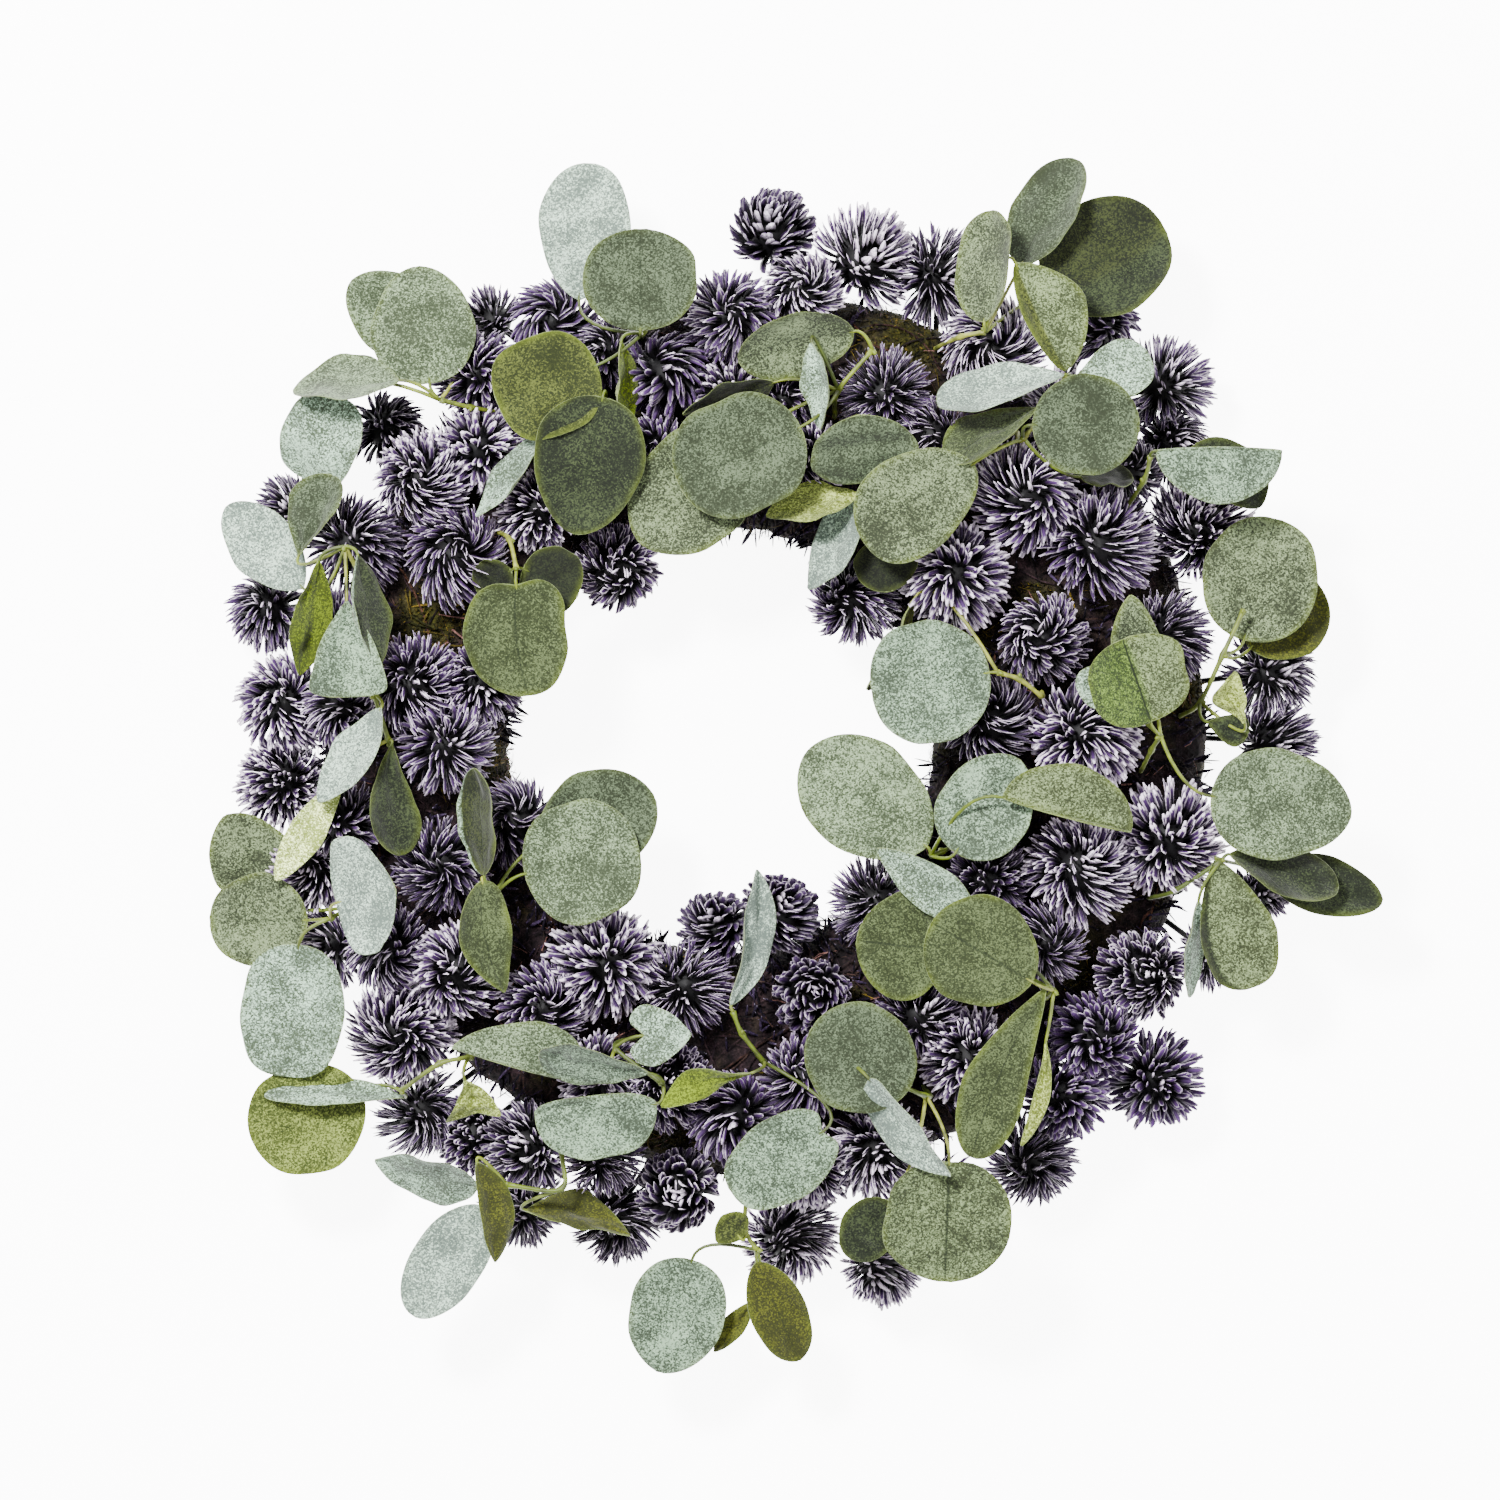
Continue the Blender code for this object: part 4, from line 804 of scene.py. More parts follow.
def flocked_leaf_material():
    """Polyester leaf fabric with a short flock: matt and softly speckled, with a pale cut rim."""
    material, tree, shader = new_material("flocked_polyester_leaf")
    cloth = add(tree, "ShaderNodeAttribute", attribute_name="cloth")
    bloom = add(tree, "ShaderNodeAttribute", attribute_name="bloom")
    blade = add(tree, "ShaderNodeAttribute", attribute_name="blade")
    place = add(tree, "ShaderNodeTexCoord").outputs["Object"]
    share = add(tree, "ShaderNodeSeparateColor", {"Color": blade.outputs["Color"]}).outputs
    off_middle = maths(tree, "ABSOLUTE", maths(tree, "SUBTRACT", share["Red"], 0.5))
    veined, yellowed = cloth.outputs["Alpha"], bloom.outputs["Alpha"]
    # The flock is about 0.3 mm; it's drawn at 0.6 to 0.7 mm so that its speckle shows.
    tufts = add(tree, "ShaderNodeTexVoronoi", {"Vector": place, "Scale": 1600.0})
    tuft = add(tree, "ShaderNodeSeparateColor", {"Color": tufts.outputs["Color"]})
    fluff = speckled(tree, place, 1500.0, 1.0, 0.6)
    links = {"Factor": 0.6, "A": fluff, "B": tuft.outputs["Red"]}
    flock = add(tree, "ShaderNodeMix", links).outputs["Result"]
    blotch = speckled(tree, place, 70.0, 2.0)
    # Side veins about 8 mm apart slant from the midrib towards the tip.
    along = maths(tree, "MULTIPLY_ADD", share["Green"], 13.0, maths(tree, "MULTIPLY", off_middle, -9.0))
    bent = maths(tree, "MULTIPLY_ADD", blotch, 2.2, along)
    side_vein = ranged(tree, maths(tree, "PINGPONG", bent, 1.0), 0.0, 0.14, 1.0, 0.0)
    midrib = ranged(tree, off_middle, 0.005, 0.020, 1.4, 0.0)
    # A finer net of veins between them, about 3 mm a mesh.
    cells = add(tree, "ShaderNodeTexVoronoi", {"Vector": place, "Scale": 300.0}, feature="DISTANCE_TO_EDGE")
    net = maths(tree, "MULTIPLY", ranged(tree, cells.outputs["Distance"], 0.0, 0.09, 0.6, 0.0), veined)
    veins = maths(tree, "MAXIMUM", maths(tree, "MAXIMUM", side_vein, midrib), net)
    depth = maths(tree, "MULTIPLY", veins, veined)
    # The flock lies in blotches, and in drifts of about 30 mm, so thicker on one side of a leaf.
    grains = ranged(tree, flock, 0.26, 0.74, -0.75, 0.85, clamp=False)
    patches = ranged(tree, blotch, 0.3, 0.7, 0.0, 0.90, clamp=False)
    drift = ranged(tree, speckled(tree, place, 32.0, 1.0), 0.3, 0.7, -0.32, 0.32, clamp=False)
    cover = maths(tree, "ADD", maths(tree, "ADD", grains, patches), drift)
    grain = blended(tree, cover, cloth.outputs["Color"], bloom.outputs["Color"])
    lit = lightened(tree, grain, ranged(tree, cover, 0.75, 1.3, 1.0, 1.8))
    # The cloth shows yellower towards the rim, in places, because the flock is thin there.
    thin = ranged(tree, blotch, 0.35, 0.6, 0.2, 1.1)
    worn = maths(tree, "MULTIPLY", maths(tree, "POWER", share["Blue"], 1.6), thin)
    bordered = blended(tree, maths(tree, "MULTIPLY", worn, yellowed), lit, RIM_CLOTH)
    sunken = blended(tree, maths(tree, "MULTIPLY", depth, 0.45), bordered, VEIN_TONE)
    rimmed = blended(tree, ranged(tree, share["Blue"], 0.94, 1.0, 0.0, 0.7), sunken, CUT_RIM)
    normal = raised(tree, depth, 0.5, -0.25 * MM, raised(tree, flock, 0.45, 0.4 * MM))
    uniform = {"Roughness": 0.85, "Specular IOR Level": 0.25, "Sheen Weight": 0.12}
    finish_shader(tree, shader, rimmed, normal, **uniform)
    return material


def coated_stem_material():
    """Wire dipped in soft PVC: a low sheen, with darker and creamier stretches along it."""
    material, tree, shader = new_material("pvc_coated_wire_stem")
    coat = add(tree, "ShaderNodeAttribute", attribute_name="coat")
    place = add(tree, "ShaderNodeTexCoord").outputs["Object"]
    patches = speckled(tree, place, 160.0, 3.0)
    colour = blended(tree, ranged(tree, patches, 0.35, 0.7), coat.outputs["Color"], STEM_SHADE)
    finish_shader(tree, shader, colour, raised(tree, patches, 0.3, 0.4 * MM), Roughness=0.55)
    return material


leaf_material, stem_material = flocked_leaf_material(), coated_stem_material()
chance = random.Random(21)
leaf_points, leaf_faces = [], []
for order, (foot, joints, leaves) in enumerate(SPRAYS):
    path = stem_path(foot, joints)
    parts = [stem_part(path, path[2:], chance)]
    parts += [bud_part(joint, chance) for joint in path[2:] if chance.random() < BUD_SHARE]
    for number, spec in enumerate(leaves):
        parts.append(stalk_part(spec, path[2 + spec["joint"]], linear(chance.choice(STEM_TONES))))
        blade = blade_part(spec, 17.3 * order + 3.7 * number, chance)
        leaf_faces += [tuple(k + len(leaf_points) for k in face) for face in blade[1]]
        leaf_points += blade[0]
        parts.append(blade)
    name = f"eucalyptus_spray_{order + 1:02d}"
    make_piece(name + "_leaves", name, parts, [leaf_material, stem_material])
leaf_tree = BVHTree.FromPolygons(leaf_points, leaf_faces)


# Cone heads.
# Round seed heads of narrow papery bracts in spirals about a core, dyed aubergine and frosted at their tips.
# Each stands on its own short wooden pick, pushed into the ring. A cluster is two to four neighbours.

HEAD_LIFT = 20 * MM
SIDE_HEAD_HEIGHT = 26 * MM
SIDE_HEAD_TILT = 0.6
CORE_SHARE = 0.58
ROOT_SHARE = 0.56
GOLDEN_TURN = math.pi * (3 - math.sqrt(5))
BRACT_ROWS = (0.0, 0.42, 0.78, 1.0)
# The bracts' spiral covers a head from its top down to so far under its middle, as a share of its radius.
SPIRAL_DOWN_TO = 0.5
SPIRAL_CROWDING = 1.08
# How far single bracts stray, in radians: round the head, down it, in their bend, sideways and by twisting.
TURN_STRAY, FALL_STRAY, BEND_STRAY, SWAY_STRAY, TWIST_STRAY = 0.17, 0.08, 0.16, 0.16, 0.25
# How far all the bracts of a head lean round it together, and how far they are combed to one side.
HEAD_SWAY, HEAD_COMBING = 0.30, 0.16
LENGTH_SHARES, WIDTH_SHARES, RIDGE_SHARES = (0.82, 1.12), (0.75, 1.2), (0.35, 0.7)
KIND_RADIUS = 42
# Heads nearer than this share the room between them, and each may reach so far past its own part of it.
NEIGHBOUR_GAP = 80 * MM
INTERLOCK = 1.42
FLOOR_GAP = 1.0 * MM
LEAF_GAP = 0.8 * MM
CORE_ROWS = 8
CORE_STEPS = 14
PICK_RADIUS = 1.4 * MM
# Near black at the bracts' roots and in the heads' cores: partly dye, partly painted shade deep in the head.
ROOT_DYE_AND_PAINTED_SHADE = "#020103"
DYE_BODY = "#22102F"
DYE_LIGHT = "#52326A"
FROST = "#FBECFF"
# Kinds of head: bracts on a head of 42 pixels, their width in mm, the share of the width at each row, how
# far they reach, how far they sweep from their roots and bend in radians, how they droop, their frost on
# the rims and on the tips, and how light their dye is, from and to.
KIND_FIELDS = ("count", "width", "rows", "reach", "sweep", "bend", "droop", "frost", "tips", "dye")
KINDS = {
    "spiky": (215, 2.15, (0.75, 1.0, 0.95, 0.40), 1.20, 0.90, 0.0, 0.02, 0.95, 1.00, (0.0, 0.6)),
    "soft": (210, 2.15, (0.75, 1.0, 0.92, 0.32), 1.22, 0.90, 0.14, 0.06, 0.65, 0.92, (0.2, 0.8)),
    "strap": (175, 2.6, (0.70, 1.0, 0.98, 0.40), 1.22, 0.95, 0.18, 0.05, 1.15, 1.00, (0.1, 0.8)),
    "curly": (190, 2.5, (0.70, 1.0, 0.95, 0.45), 1.10, 1.10, -0.50, 0.0, 1.10, 0.84, (0.0, 0.6)),
    "rosette": (140, 3.9, (0.80, 1.0, 0.95, 0.60), 1.00, 1.10, -0.75, 0.0, 0.72, 0.76, (0.0, 0.3)),
    "scale": (130, 4.3, (0.90, 1.0, 0.95, 0.55), 1.06, 0.70, -0.20, 0.0, 0.36, 0.78, (0.0, 0.3)),
    "violet": (160, 2.9, (0.70, 1.0, 0.95, 0.38), 1.20, 0.95, 0.05, 0.02, 0.40, 0.86, (0.3, 1.0)),
    "needle": (230, 1.6, (0.80, 1.0, 0.80, 0.15), 1.24, 0.90, 0.30, 0.22, 0.70, 0.92, (0.1, 0.7)),
    "dark": (210, 2.15, (0.75, 1.0, 0.80, 0.15), 1.22, 0.86, 0.10, 0.0, 0.50, 0.90, (0.0, 0.4)),
}
# Heads: x, y and radius in pixels, then the kind, and its lean to the right and up where that shows.
HEADS = [
    (491, 318, 32, "dark"), (553, 321, 42, "violet", 0.0, 0.3), (477, 372, 40, "soft", 0.1, 0.0),
    (384, 427, 36, "dark", 0.3, 0.3), (480, 449, 38, "strap", 0.25, -0.2),
    (425, 481, 46, "spiky", 0.0, 0.2), (537, 509, 38, "spiky", 0.0, -0.5), (454, 557, 48, "soft", 0.6, 0.3),
    (352, 545, 45, "dark", 0.5, 0.4), (288, 509, 34, "dark", -0.4, 0.4), (265, 608, 38, "soft", -0.5, 0.1),
    (335, 630, 36, "soft"), (617, 567, 42, "curly", 0.1, -0.1), (607, 353, 32, "dark"),
    (668, 375, 42, "violet", 0.0, 0.0), (773, 229, 46, "scale", -0.2, 0.9),
    (863, 258, 48, "strap", 0.8, 0.8), (802, 293, 38, "spiky", 0.2, 0.3), (732, 318, 42, "soft", -0.1, 0.1),
    (939, 273, 45, "dark", 0.5, -0.1), (885, 395, 42, "needle", 0.1, 0.1), (786, 398, 32, "dark", 0.2, 0.0),
    (652, 452, 34, "soft", 0.2, 0.2), (548, 400, 38), (598, 462, 36), (728, 400, 34), (730, 470, 34),
    (812, 458, 34), (1066, 408, 38), (854, 598, 42, "soft", -0.6, -0.5), (956, 577, 48, "strap", -0.1, 0.0),
    (933, 436, 34, "needle", 0.2, -0.4), (995, 350, 50, "spiky", 0.0, 0.1),
    (1103, 321, 36, "violet", 0.3, 0.3), (1167, 383, 44, "soft", 0.8, 0.3),
    (1175, 442, 38, "dark", 0.5, 0.0), (1023, 497, 50, "strap", 0.3, 0.3),
    (1100, 548, 50, "soft", 0.1, 0.8), (1205, 525, 50, "spiky", -0.2, 0.1),
    (1043, 639, 44, "curly", -0.3, 0.3), (1129, 470, 32, "dark"), (989, 722, 44, "dark", 0.3, 0.6),
    (1086, 735, 50, "strap", 0.0, -0.1), (990, 800, 36), (1162, 639, 45, "dark", 0.5, -0.3),
    (1271, 672, 44, "dark", 0.8, -0.1), (1278, 741, 40, "dark", 0.5, -0.4),
    (1169, 838, 50, "strap", 0.2, -0.1), (1079, 871, 50, "spiky", 0.45, 0.5), (989, 878, 38, "dark"),
    (1142, 976, 46, "curly", 0.1, 0.1), (1046, 943, 38, "needle", -0.1, -0.2), (965, 955, 36),
    (1212, 954, 34, "dark"), (1261, 891, 32, "dark"), (1094, 1036, 42, "violet", 0.0, -0.3),
    (1158, 1082, 44, "violet", 0.3, -0.2), (1066, 1096, 40, "violet", 0.1, -0.2),
    (1033, 1162, 42, "dark", 0.2, -0.4), (970, 1059, 45, "spiky", 0.2, 0.5),
    (920, 1015, 38, "dark", 0.4, 0.4), (879, 903, 42, "needle", -0.6, 0.5),
    (879, 1151, 46, "spiky", 0.1, -0.6), (950, 1195, 38), (882, 1268, 38, "spiky", 0.0, -1.1),
    (604, 963, 50, "strap", 0.0, 0.15), (544, 1008, 42, "soft", 0.1, 0.3),
    (687, 985, 42, "needle", 0.0, -0.7), (716, 930, 38, "scale", -0.3, 0.8),
    (776, 918, 44, "scale", 0.5, 0.7), (812, 995, 42, "scale", 0.15, 0.15),
    (805, 1078, 40, "soft", -0.5, 0.2), (671, 1087, 44, "curly", 0.3, 0.2), (600, 1075, 38),
    (732, 1116, 42, "violet", 0.1, -0.2), (810, 1165, 40), (678, 1192, 44, "rosette", 0.0, 0.0),
    (789, 1237, 46, "spiky", 0.3, -0.8), (614, 1218, 44, "dark", 0.2, -0.7),
    (521, 1210, 38, "dark", 0.0, -0.4), (527, 1148, 44, "curly", -0.3, 0.2),
    (601, 1154, 38, "needle", 0.0, -0.5), (400, 1033, 50, "spiky", 0.0, 0.0),
    (330, 944, 38, "soft", -0.4, -0.2), (387, 950, 40, "soft", 0.3, -0.3),
    (441, 866, 42, "dark", 0.0, -0.1), (460, 972, 44, "strap", -0.4, 0.3),
    (418, 1115, 42, "needle", -0.1, -0.4), (472, 1138, 40, "curly", 0.1, 0.2),
    (283, 703, 44, "strap", 0.2, 0.4), (341, 710, 36, "soft", 0.0, -0.4),
    (279, 783, 42, "spiky", -0.1, 0.3), (413, 687, 46, "soft", 0.6, 0.1), (480, 684, 38, "soft", 0.3, -0.4),
    (445, 745, 44, "soft", 0.6, 0.2), (343, 820, 36, "soft", -0.3, 0.2), (308, 872, 38, "spiky", -0.3, 0.1),
    (518, 824, 42, "dark", -0.1, 0.6),
]


def head_place(x, y):
    """A head's middle over the ring, and the point of the ring under it."""
    point = at(x, y, 0.0)
    centre = (at(*RING_INNER_MIDDLE, 0.0) + at(*RING_OUTER_MIDDLE, 0.0)) / 2
    angle = math.atan2(point.y - centre.y, point.x - centre.x)
    middle, half = ring_band(angle)
    width = half.length
    across = (point - middle).dot(half) / width
    best = None
    for degree in range(181):
        share, height = ring_arch(math.radians(degree))
        later, later_height = ring_arch(math.radians(min(degree + 1, 180)))
        earlier, earlier_height = ring_arch(math.radians(max(degree - 1, 0)))
        run, rise = (later - earlier) * width, later_height - earlier_height
        size = math.hypot(run, rise)
        lean, up = rise / size, -run / size
        miss = abs(share * width + HEAD_LIFT * lean - across)
        if best is None or miss < best[0]:
            best = (miss, share, height, up)
    _, share, height, up = best
    lifted = max(height + HEAD_LIFT * up, SIDE_HEAD_HEIGHT)
    return Vector((point.x, point.y, lifted)), middle + half * share + Vector((0, 0, height))


def plan_heads():
    """Every head's middle, seat, size, kind and the way it points."""
    heads = []
    for x, y, radius, *looks in HEADS:
        centre, seat = head_place(x, y)
        axis = ((centre - seat).normalized() + Vector((0, 0, SIDE_HEAD_TILT))).normalized()
        if len(looks) > 1:
            axis = Vector((looks[1], looks[2], 1.0)).normalized()
        kind = looks[0] if looks else "spiky"
        heads.append({"centre": centre, "seat": seat, "size": radius * PIXEL, "axis": axis, "kind": kind})
    return heads


def head_limits(number, heads, ways):
    """How far each way goes before it leaves the head's own room between its neighbours and the floor."""
    centre, size = np.array(heads[number]["centre"]), heads[number]["size"]
    normals, distances = [np.array((0, 0, -1.0))], [centre[2] - FLOOR_GAP]
    for other, neighbour in enumerate(heads):
        offset = np.array(neighbour["centre"]) - centre
        gap = np.linalg.norm(offset)
        if other != number and gap < NEIGHBOUR_GAP:
            normals.append(offset / gap)
            distances.append(INTERLOCK * gap * size / (size + neighbour["size"]))
    along = ways @ np.array(normals).T
    with np.errstate(divide="ignore", invalid="ignore"):
        limits = np.where(along > 1e-6, np.array(distances) / along, np.inf)
    return limits.min(axis=1)


def unit(ways):
    """The same ways at length one."""
    return ways / np.linalg.norm(ways, axis=-1, keepdims=True)


def bract_lines(head, kind, count, rng):
    """Each bract's middle line from its root, at full length, with its side and upper ways at each row."""
    axis = np.array(head["axis"])
    across = np.array(head["axis"].orthogonal().normalized())
    over = np.cross(axis, across)
    top = 1 - (1 + SPIRAL_DOWN_TO) * ((np.arange(count) + 0.5) / count) ** SPIRAL_CROWDING
    turn = GOLDEN_TURN * np.arange(count) + rng.normal(0, TURN_STRAY, count)
    fall = np.arccos(top) + rng.normal(0, FALL_STRAY, count)
    radial = np.cos(turn)[:, None] * across + np.sin(turn)[:, None] * over
    round_way = np.cross(axis, radial)
    size = head["size"]
    roots = ROOT_SHARE * size * (np.cos(fall)[:, None] * axis + np.sin(fall)[:, None] * radial)
    length = (kind["reach"] - ROOT_SHARE) * size * rng.uniform(*LENGTH_SHARES, count)
    bend = kind["bend"] + rng.normal(0, BEND_STRAY, count)
    start = fall * kind["sweep"]
    sway = rng.normal(0, HEAD_SWAY) + rng.normal(0, SWAY_STRAY, count)
    combed = rng.normal(0, HEAD_COMBING, 3)
    lines, sides, uppers = [], [], []
    place, before = np.zeros((count, 3)), 0.0
    for share in BRACT_ROWS:
        middle_angle = start + bend * (before + share) / 2
        way = np.cos(middle_angle)[:, None] * axis + np.sin(middle_angle)[:, None] * radial
        way = unit(way + round_way * (sway * (before + share))[:, None] + combed * (before + share))
        place = place + way * (length * (share - before))[:, None]
        sunk = place.copy()
        sunk[:, 2] -= kind["droop"] * length * share * share * np.clip(1.2 - top, 0, 1)
        angle = start + bend * share
        upper = np.sin(angle)[:, None] * axis - np.cos(angle)[:, None] * radial
        lines.append(sunk)
        sides.append(round_way)
        uppers.append(upper)
        before = share
    return roots, np.stack(lines, 1), np.stack(sides, 1), np.stack(uppers, 1), top


def fitted(number, heads, roots, lines):
    """The share of its full length that each bract keeps, between the other heads and under the leaves."""
    tips = roots + lines[:, -1]
    far = np.linalg.norm(tips, axis=1)
    near = np.linalg.norm(roots, axis=1)
    room = head_limits(number, heads, tips / far[:, None])
    keep = np.clip((room - near) / np.maximum(far - near, 1e-6), 0.25, 1.0)
    centre = heads[number]["centre"]
    for k in range(len(roots)):
        line = Vector(lines[k, -1])
        start = centre + Vector(roots[k])
        reach = line.length * keep[k]
        _, _, _, gap = leaf_tree.ray_cast(start, line.normalized(), reach + 1 * MM)
        if gap is not None:
            keep[k] = max((gap - LEAF_GAP) / line.length, 0.2)
    return keep


def bracts_part(number, heads, rng):
    """All the bracts of one head, as creased ribbons."""
    head = heads[number]
    kind, size = dict(zip(KIND_FIELDS, KINDS[head["kind"]])), head["size"]
    count = int(kind["count"] * min(max((size / (KIND_RADIUS * PIXEL)) ** 1.6, 0.62), 1.3))
    roots, lines, sides, uppers, top = bract_lines(head, kind, count, rng)
    keep = fitted(number, heads, roots, lines)
    lines = lines * keep[:, None, None]
    twist = rng.normal(0, TWIST_STRAY, (count, 1, 1))
    cosine, sine = np.cos(twist), np.sin(twist)
    sides, uppers = sides * cosine + uppers * sine, uppers * cosine - sides * sine
    width = kind["width"] * MM / 2 * rng.uniform(*WIDTH_SHARES, (count, 1, 1))
    width = width * (0.55 + 0.45 * keep)[:, None, None]
    ridge = rng.uniform(*RIDGE_SHARES, (count, 1, 1)) * width
    spread = np.array(kind["rows"])[None, :, None]
    middle = np.array(head["centre"]) + roots[:, None] + lines
    rows = len(BRACT_ROWS)
    points = np.stack([middle + sides * spread * width, middle + uppers * spread * ridge,
                       middle - sides * spread * width], axis=2)
    colours = np.zeros((count, rows, 3, 4))
    # Bracts near the crown, which face up to the light, get extra frost on top of their own: a painted
    # highlight.
    frost = kind["frost"] * (0.58 + 1.5 * rng.random(count) ** 1.3) + 0.45 * np.maximum(top - 0.5, 0)
    colours[..., 0] = np.array(BRACT_ROWS)[None, :, None] * kind["tips"]
    colours[:, :, (0, 2), 1] = 1.0
    colours[..., 2] = frost[:, None, None]
    colours[..., 3] = rng.uniform(*kind["dye"], count)[:, None, None]
    points[..., 2] = np.maximum(points[..., 2], 0.6 * MM)
    faces = []
    for k in range(count):
        for row in range(rows - 1):
            a = 3 * (rows * k + row)
            faces += ribbon_faces(a)
        faces.append((a + 3, a + 4, a + 5))
    return points.reshape(-1, 3), faces, 0, {"bract": colours.reshape(-1, 4)}


def core_part(head):
    """The head's core under its bracts, near black like the bracts' roots: partly dye, partly painted shade.
    """
    points, faces = [], []
    for row in range(CORE_ROWS + 1):
        for step in range(CORE_STEPS):
            turn, fall = 2 * math.pi * step / CORE_STEPS, math.pi * (row + 0.02) / (CORE_ROWS + 0.04)
            ball = Vector((math.sin(fall) * math.cos(turn), math.sin(fall) * math.sin(turn), math.cos(fall)))
            points.append(head["centre"] + ball * CORE_SHARE * head["size"])
    for row in range(CORE_ROWS):
        for step in range(CORE_STEPS):
            here, following = CORE_STEPS * row + step, CORE_STEPS * row + (step + 1) % CORE_STEPS
            faces.append((here, here + CORE_STEPS, following + CORE_STEPS, following))
    return points, faces, 0, {"bract": [(0.0, 0.0, 0.0, 0.5)] * len(points)}


def pick_part(head):
    """The pick that holds a head on the ring."""
    path = [head["centre"].lerp(head["seat"], share) for share in (0.2, 0.6, 1.02)]
    points, faces = tube(path, [PICK_RADIUS] * 3, 6)
    return points, faces, 0, {"bract": [(0.15, 0.3, 0.1, 0.5)] * len(points)}


def cluster_of(head, clusters):
    """The name of the cone cluster in the frame that a head belongs to."""
    best = None
    for name, vertices in clusters.items():
        gaps = np.linalg.norm(vertices - np.array(head["centre"]), axis=1)
        near = np.sort(gaps)[:12].mean()
        if best is None or near < best[0]:
            best = (near, name)
    return best[1]


# Dyed dried bract: papery and matt, near black at its root (dye and painted shade), with a dry lavender frost
# caught on its edges and tip.
bract_material, tree, shader = new_material("dyed_dried_bract")
amounts = add(tree, "ShaderNodeAttribute", attribute_name="bract")
share = add(tree, "ShaderNodeSeparateColor", {"Color": amounts.outputs["Color"]}).outputs
place = add(tree, "ShaderNodeTexCoord").outputs["Object"]
streaks = speckled(tree, place, 700.0, 3.0, 0.75)
# Towards its root a bract's colour falls to near black: partly dye, partly painted shade between the bracts.
rise = ranged(tree, share["Red"], 0.3, 0.85)
body = blended(tree, rise, ROOT_DYE_AND_PAINTED_SHADE, DYE_BODY)
dyed = blended(tree, maths(tree, "MULTIPLY", amounts.outputs["Alpha"], rise), body, DYE_LIGHT)
# The frost lies on the edges of a bract's outer half and on its tip, broken up along its grain; its amount
# includes a painted highlight on the bracts near the crown.
edge, outer = ranged(tree, share["Green"], 0.52, 0.86), ranged(tree, share["Red"], 0.3, 0.8)
edged = maths(tree, "MULTIPLY", edge, outer)
caught = maths(tree, "MAXIMUM", edged, ranged(tree, share["Red"], 0.78, 1.0))
held = maths(tree, "MULTIPLY", caught, share["Blue"])
frosted = maths(tree, "MULTIPLY", held, ranged(tree, streaks, 0.36, 0.62, 0.35, 1.7), clamp=True)
uniform = {"Roughness": 0.6, "Specular IOR Level": 0.2}
colour = blended(tree, frosted, dyed, FROST)
finish_shader(tree, shader, colour, raised(tree, streaks, 0.3, 0.2 * MM), **uniform)

clusters = {}
for name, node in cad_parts.items():
    if name.startswith("cone_cluster"):
        clusters[name] = np.array([node.matrix_world @ vertex.co for vertex in node.data.vertices])
heads = plan_heads()
members = {name: [] for name in clusters}
rng = np.random.default_rng(31)
for number, head in enumerate(heads):
    members[cluster_of(head, clusters)] += [bracts_part(number, heads, rng), core_part(head), pick_part(head)]
for name, parts in members.items():
    make_piece(name + "_heads", name, parts, [bract_material])


# Floor.
# A plain near-white sweep that the wreath lies on, painted matt so that it shows only a soft shadow.
FLOOR_HALF = 6
FLOOR_LEVEL = -0.5 * MM
corners = [(x * FLOOR_HALF, y * FLOOR_HALF, FLOOR_LEVEL) for x, y in ((-1, -1), (1, -1), (1, 1), (-1, 1))]
floor_mesh = bpy.data.meshes.new("floor")
floor_mesh.from_pydata(corners, [], [(0, 1, 2, 3)])
floor = bpy.data.objects.new("floor", floor_mesh)
bpy.context.scene.collection.objects.link(floor)
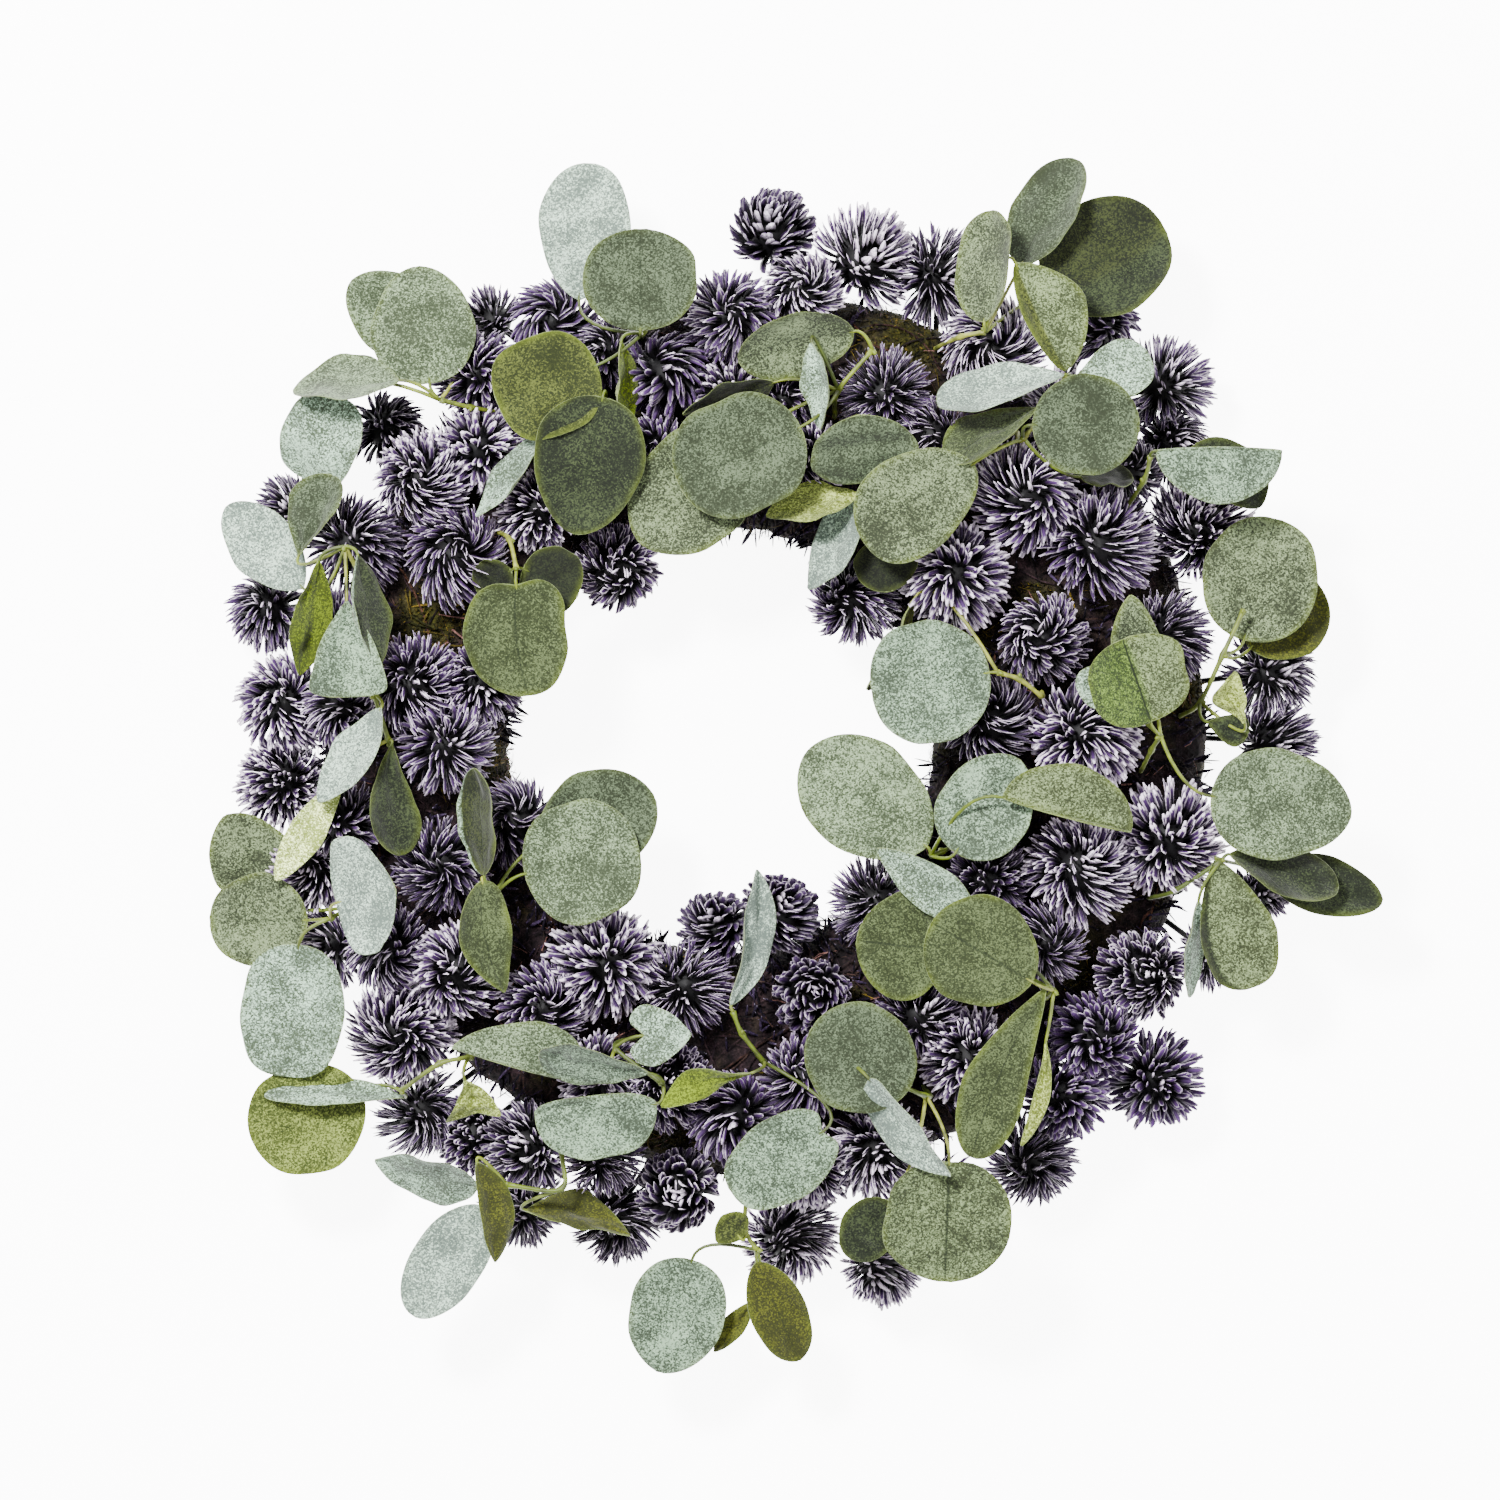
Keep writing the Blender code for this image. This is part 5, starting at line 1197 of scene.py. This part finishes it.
# Matt white paint: even, with no gloss.
paint, tree, shader = new_material("matt_white_paint")
mottle = add(tree, "ShaderNodeTexNoise", {"Scale": 3.0, "Detail": 2.0})
tint = blended(tree, mottle.outputs["Fac"], (0.93, 0.93, 0.93, 1), (0.95, 0.95, 0.95, 1))
uniform = {"Roughness": 1.0, "Specular IOR Level": 0.0}
uniform |= {"Emission Color": (1, 1, 1, 1), "Emission Strength": 9.0}
finish_shader(tree, shader, tint, None, **uniform)
floor_mesh.materials.append(paint)
# It shows white but sends no light back up between the heads, as the photo shows them black inside.
floor.visible_diffuse = False


# Light.
# Soft studio light: one large box from the upper left, a weaker one from the right, and an even white room.
def soft_box(name, place, size, power):
    """A square soft box that faces the middle of the wreath."""
    lamp = bpy.data.lights.new(name, "AREA")
    lamp.shape = "SQUARE"
    lamp.size = size
    lamp.energy = power
    box = bpy.data.objects.new(name, lamp)
    box.location = place
    box.rotation_euler = (-Vector(place)).to_track_quat("-Z", "Y").to_euler()
    bpy.context.scene.collection.objects.link(box)


soft_box("key_soft_box", (-0.7, 0.9, 2.0), 0.4, 152)
soft_box("fill_soft_box", (1.4, -0.2, 1.6), 1.4, 24)
world = bpy.data.worlds.new("white_room")
world.use_nodes = True
room = world.node_tree.nodes["Background"]
room.inputs["Color"].default_value = (1, 1, 1, 1)
room.inputs["Strength"].default_value = 0.92
bpy.context.scene.world = world


# Camera.
# Straight above the wreath with a long lens, so that its 1500 x 1500 frame is 0.69 m wide at the leaves.
FRAME_PIXELS = 1500
LEAF_LEVEL = 60 * MM
FOCAL_LENGTH = 200
SENSOR_WIDTH = 36
lens = bpy.data.cameras.new("camera")
lens.lens = FOCAL_LENGTH
lens.sensor_width = SENSOR_WIDTH
lens.clip_end = 20
camera = bpy.data.objects.new("camera", lens)
distance = FRAME_PIXELS * PIXEL * FOCAL_LENGTH / SENSOR_WIDTH
camera.location = at(FRAME_PIXELS / 2, FRAME_PIXELS / 2, LEAF_LEVEL + distance)
bpy.context.scene.collection.objects.link(camera)
bpy.context.scene.camera = camera

bpy.context.view_layer.update()
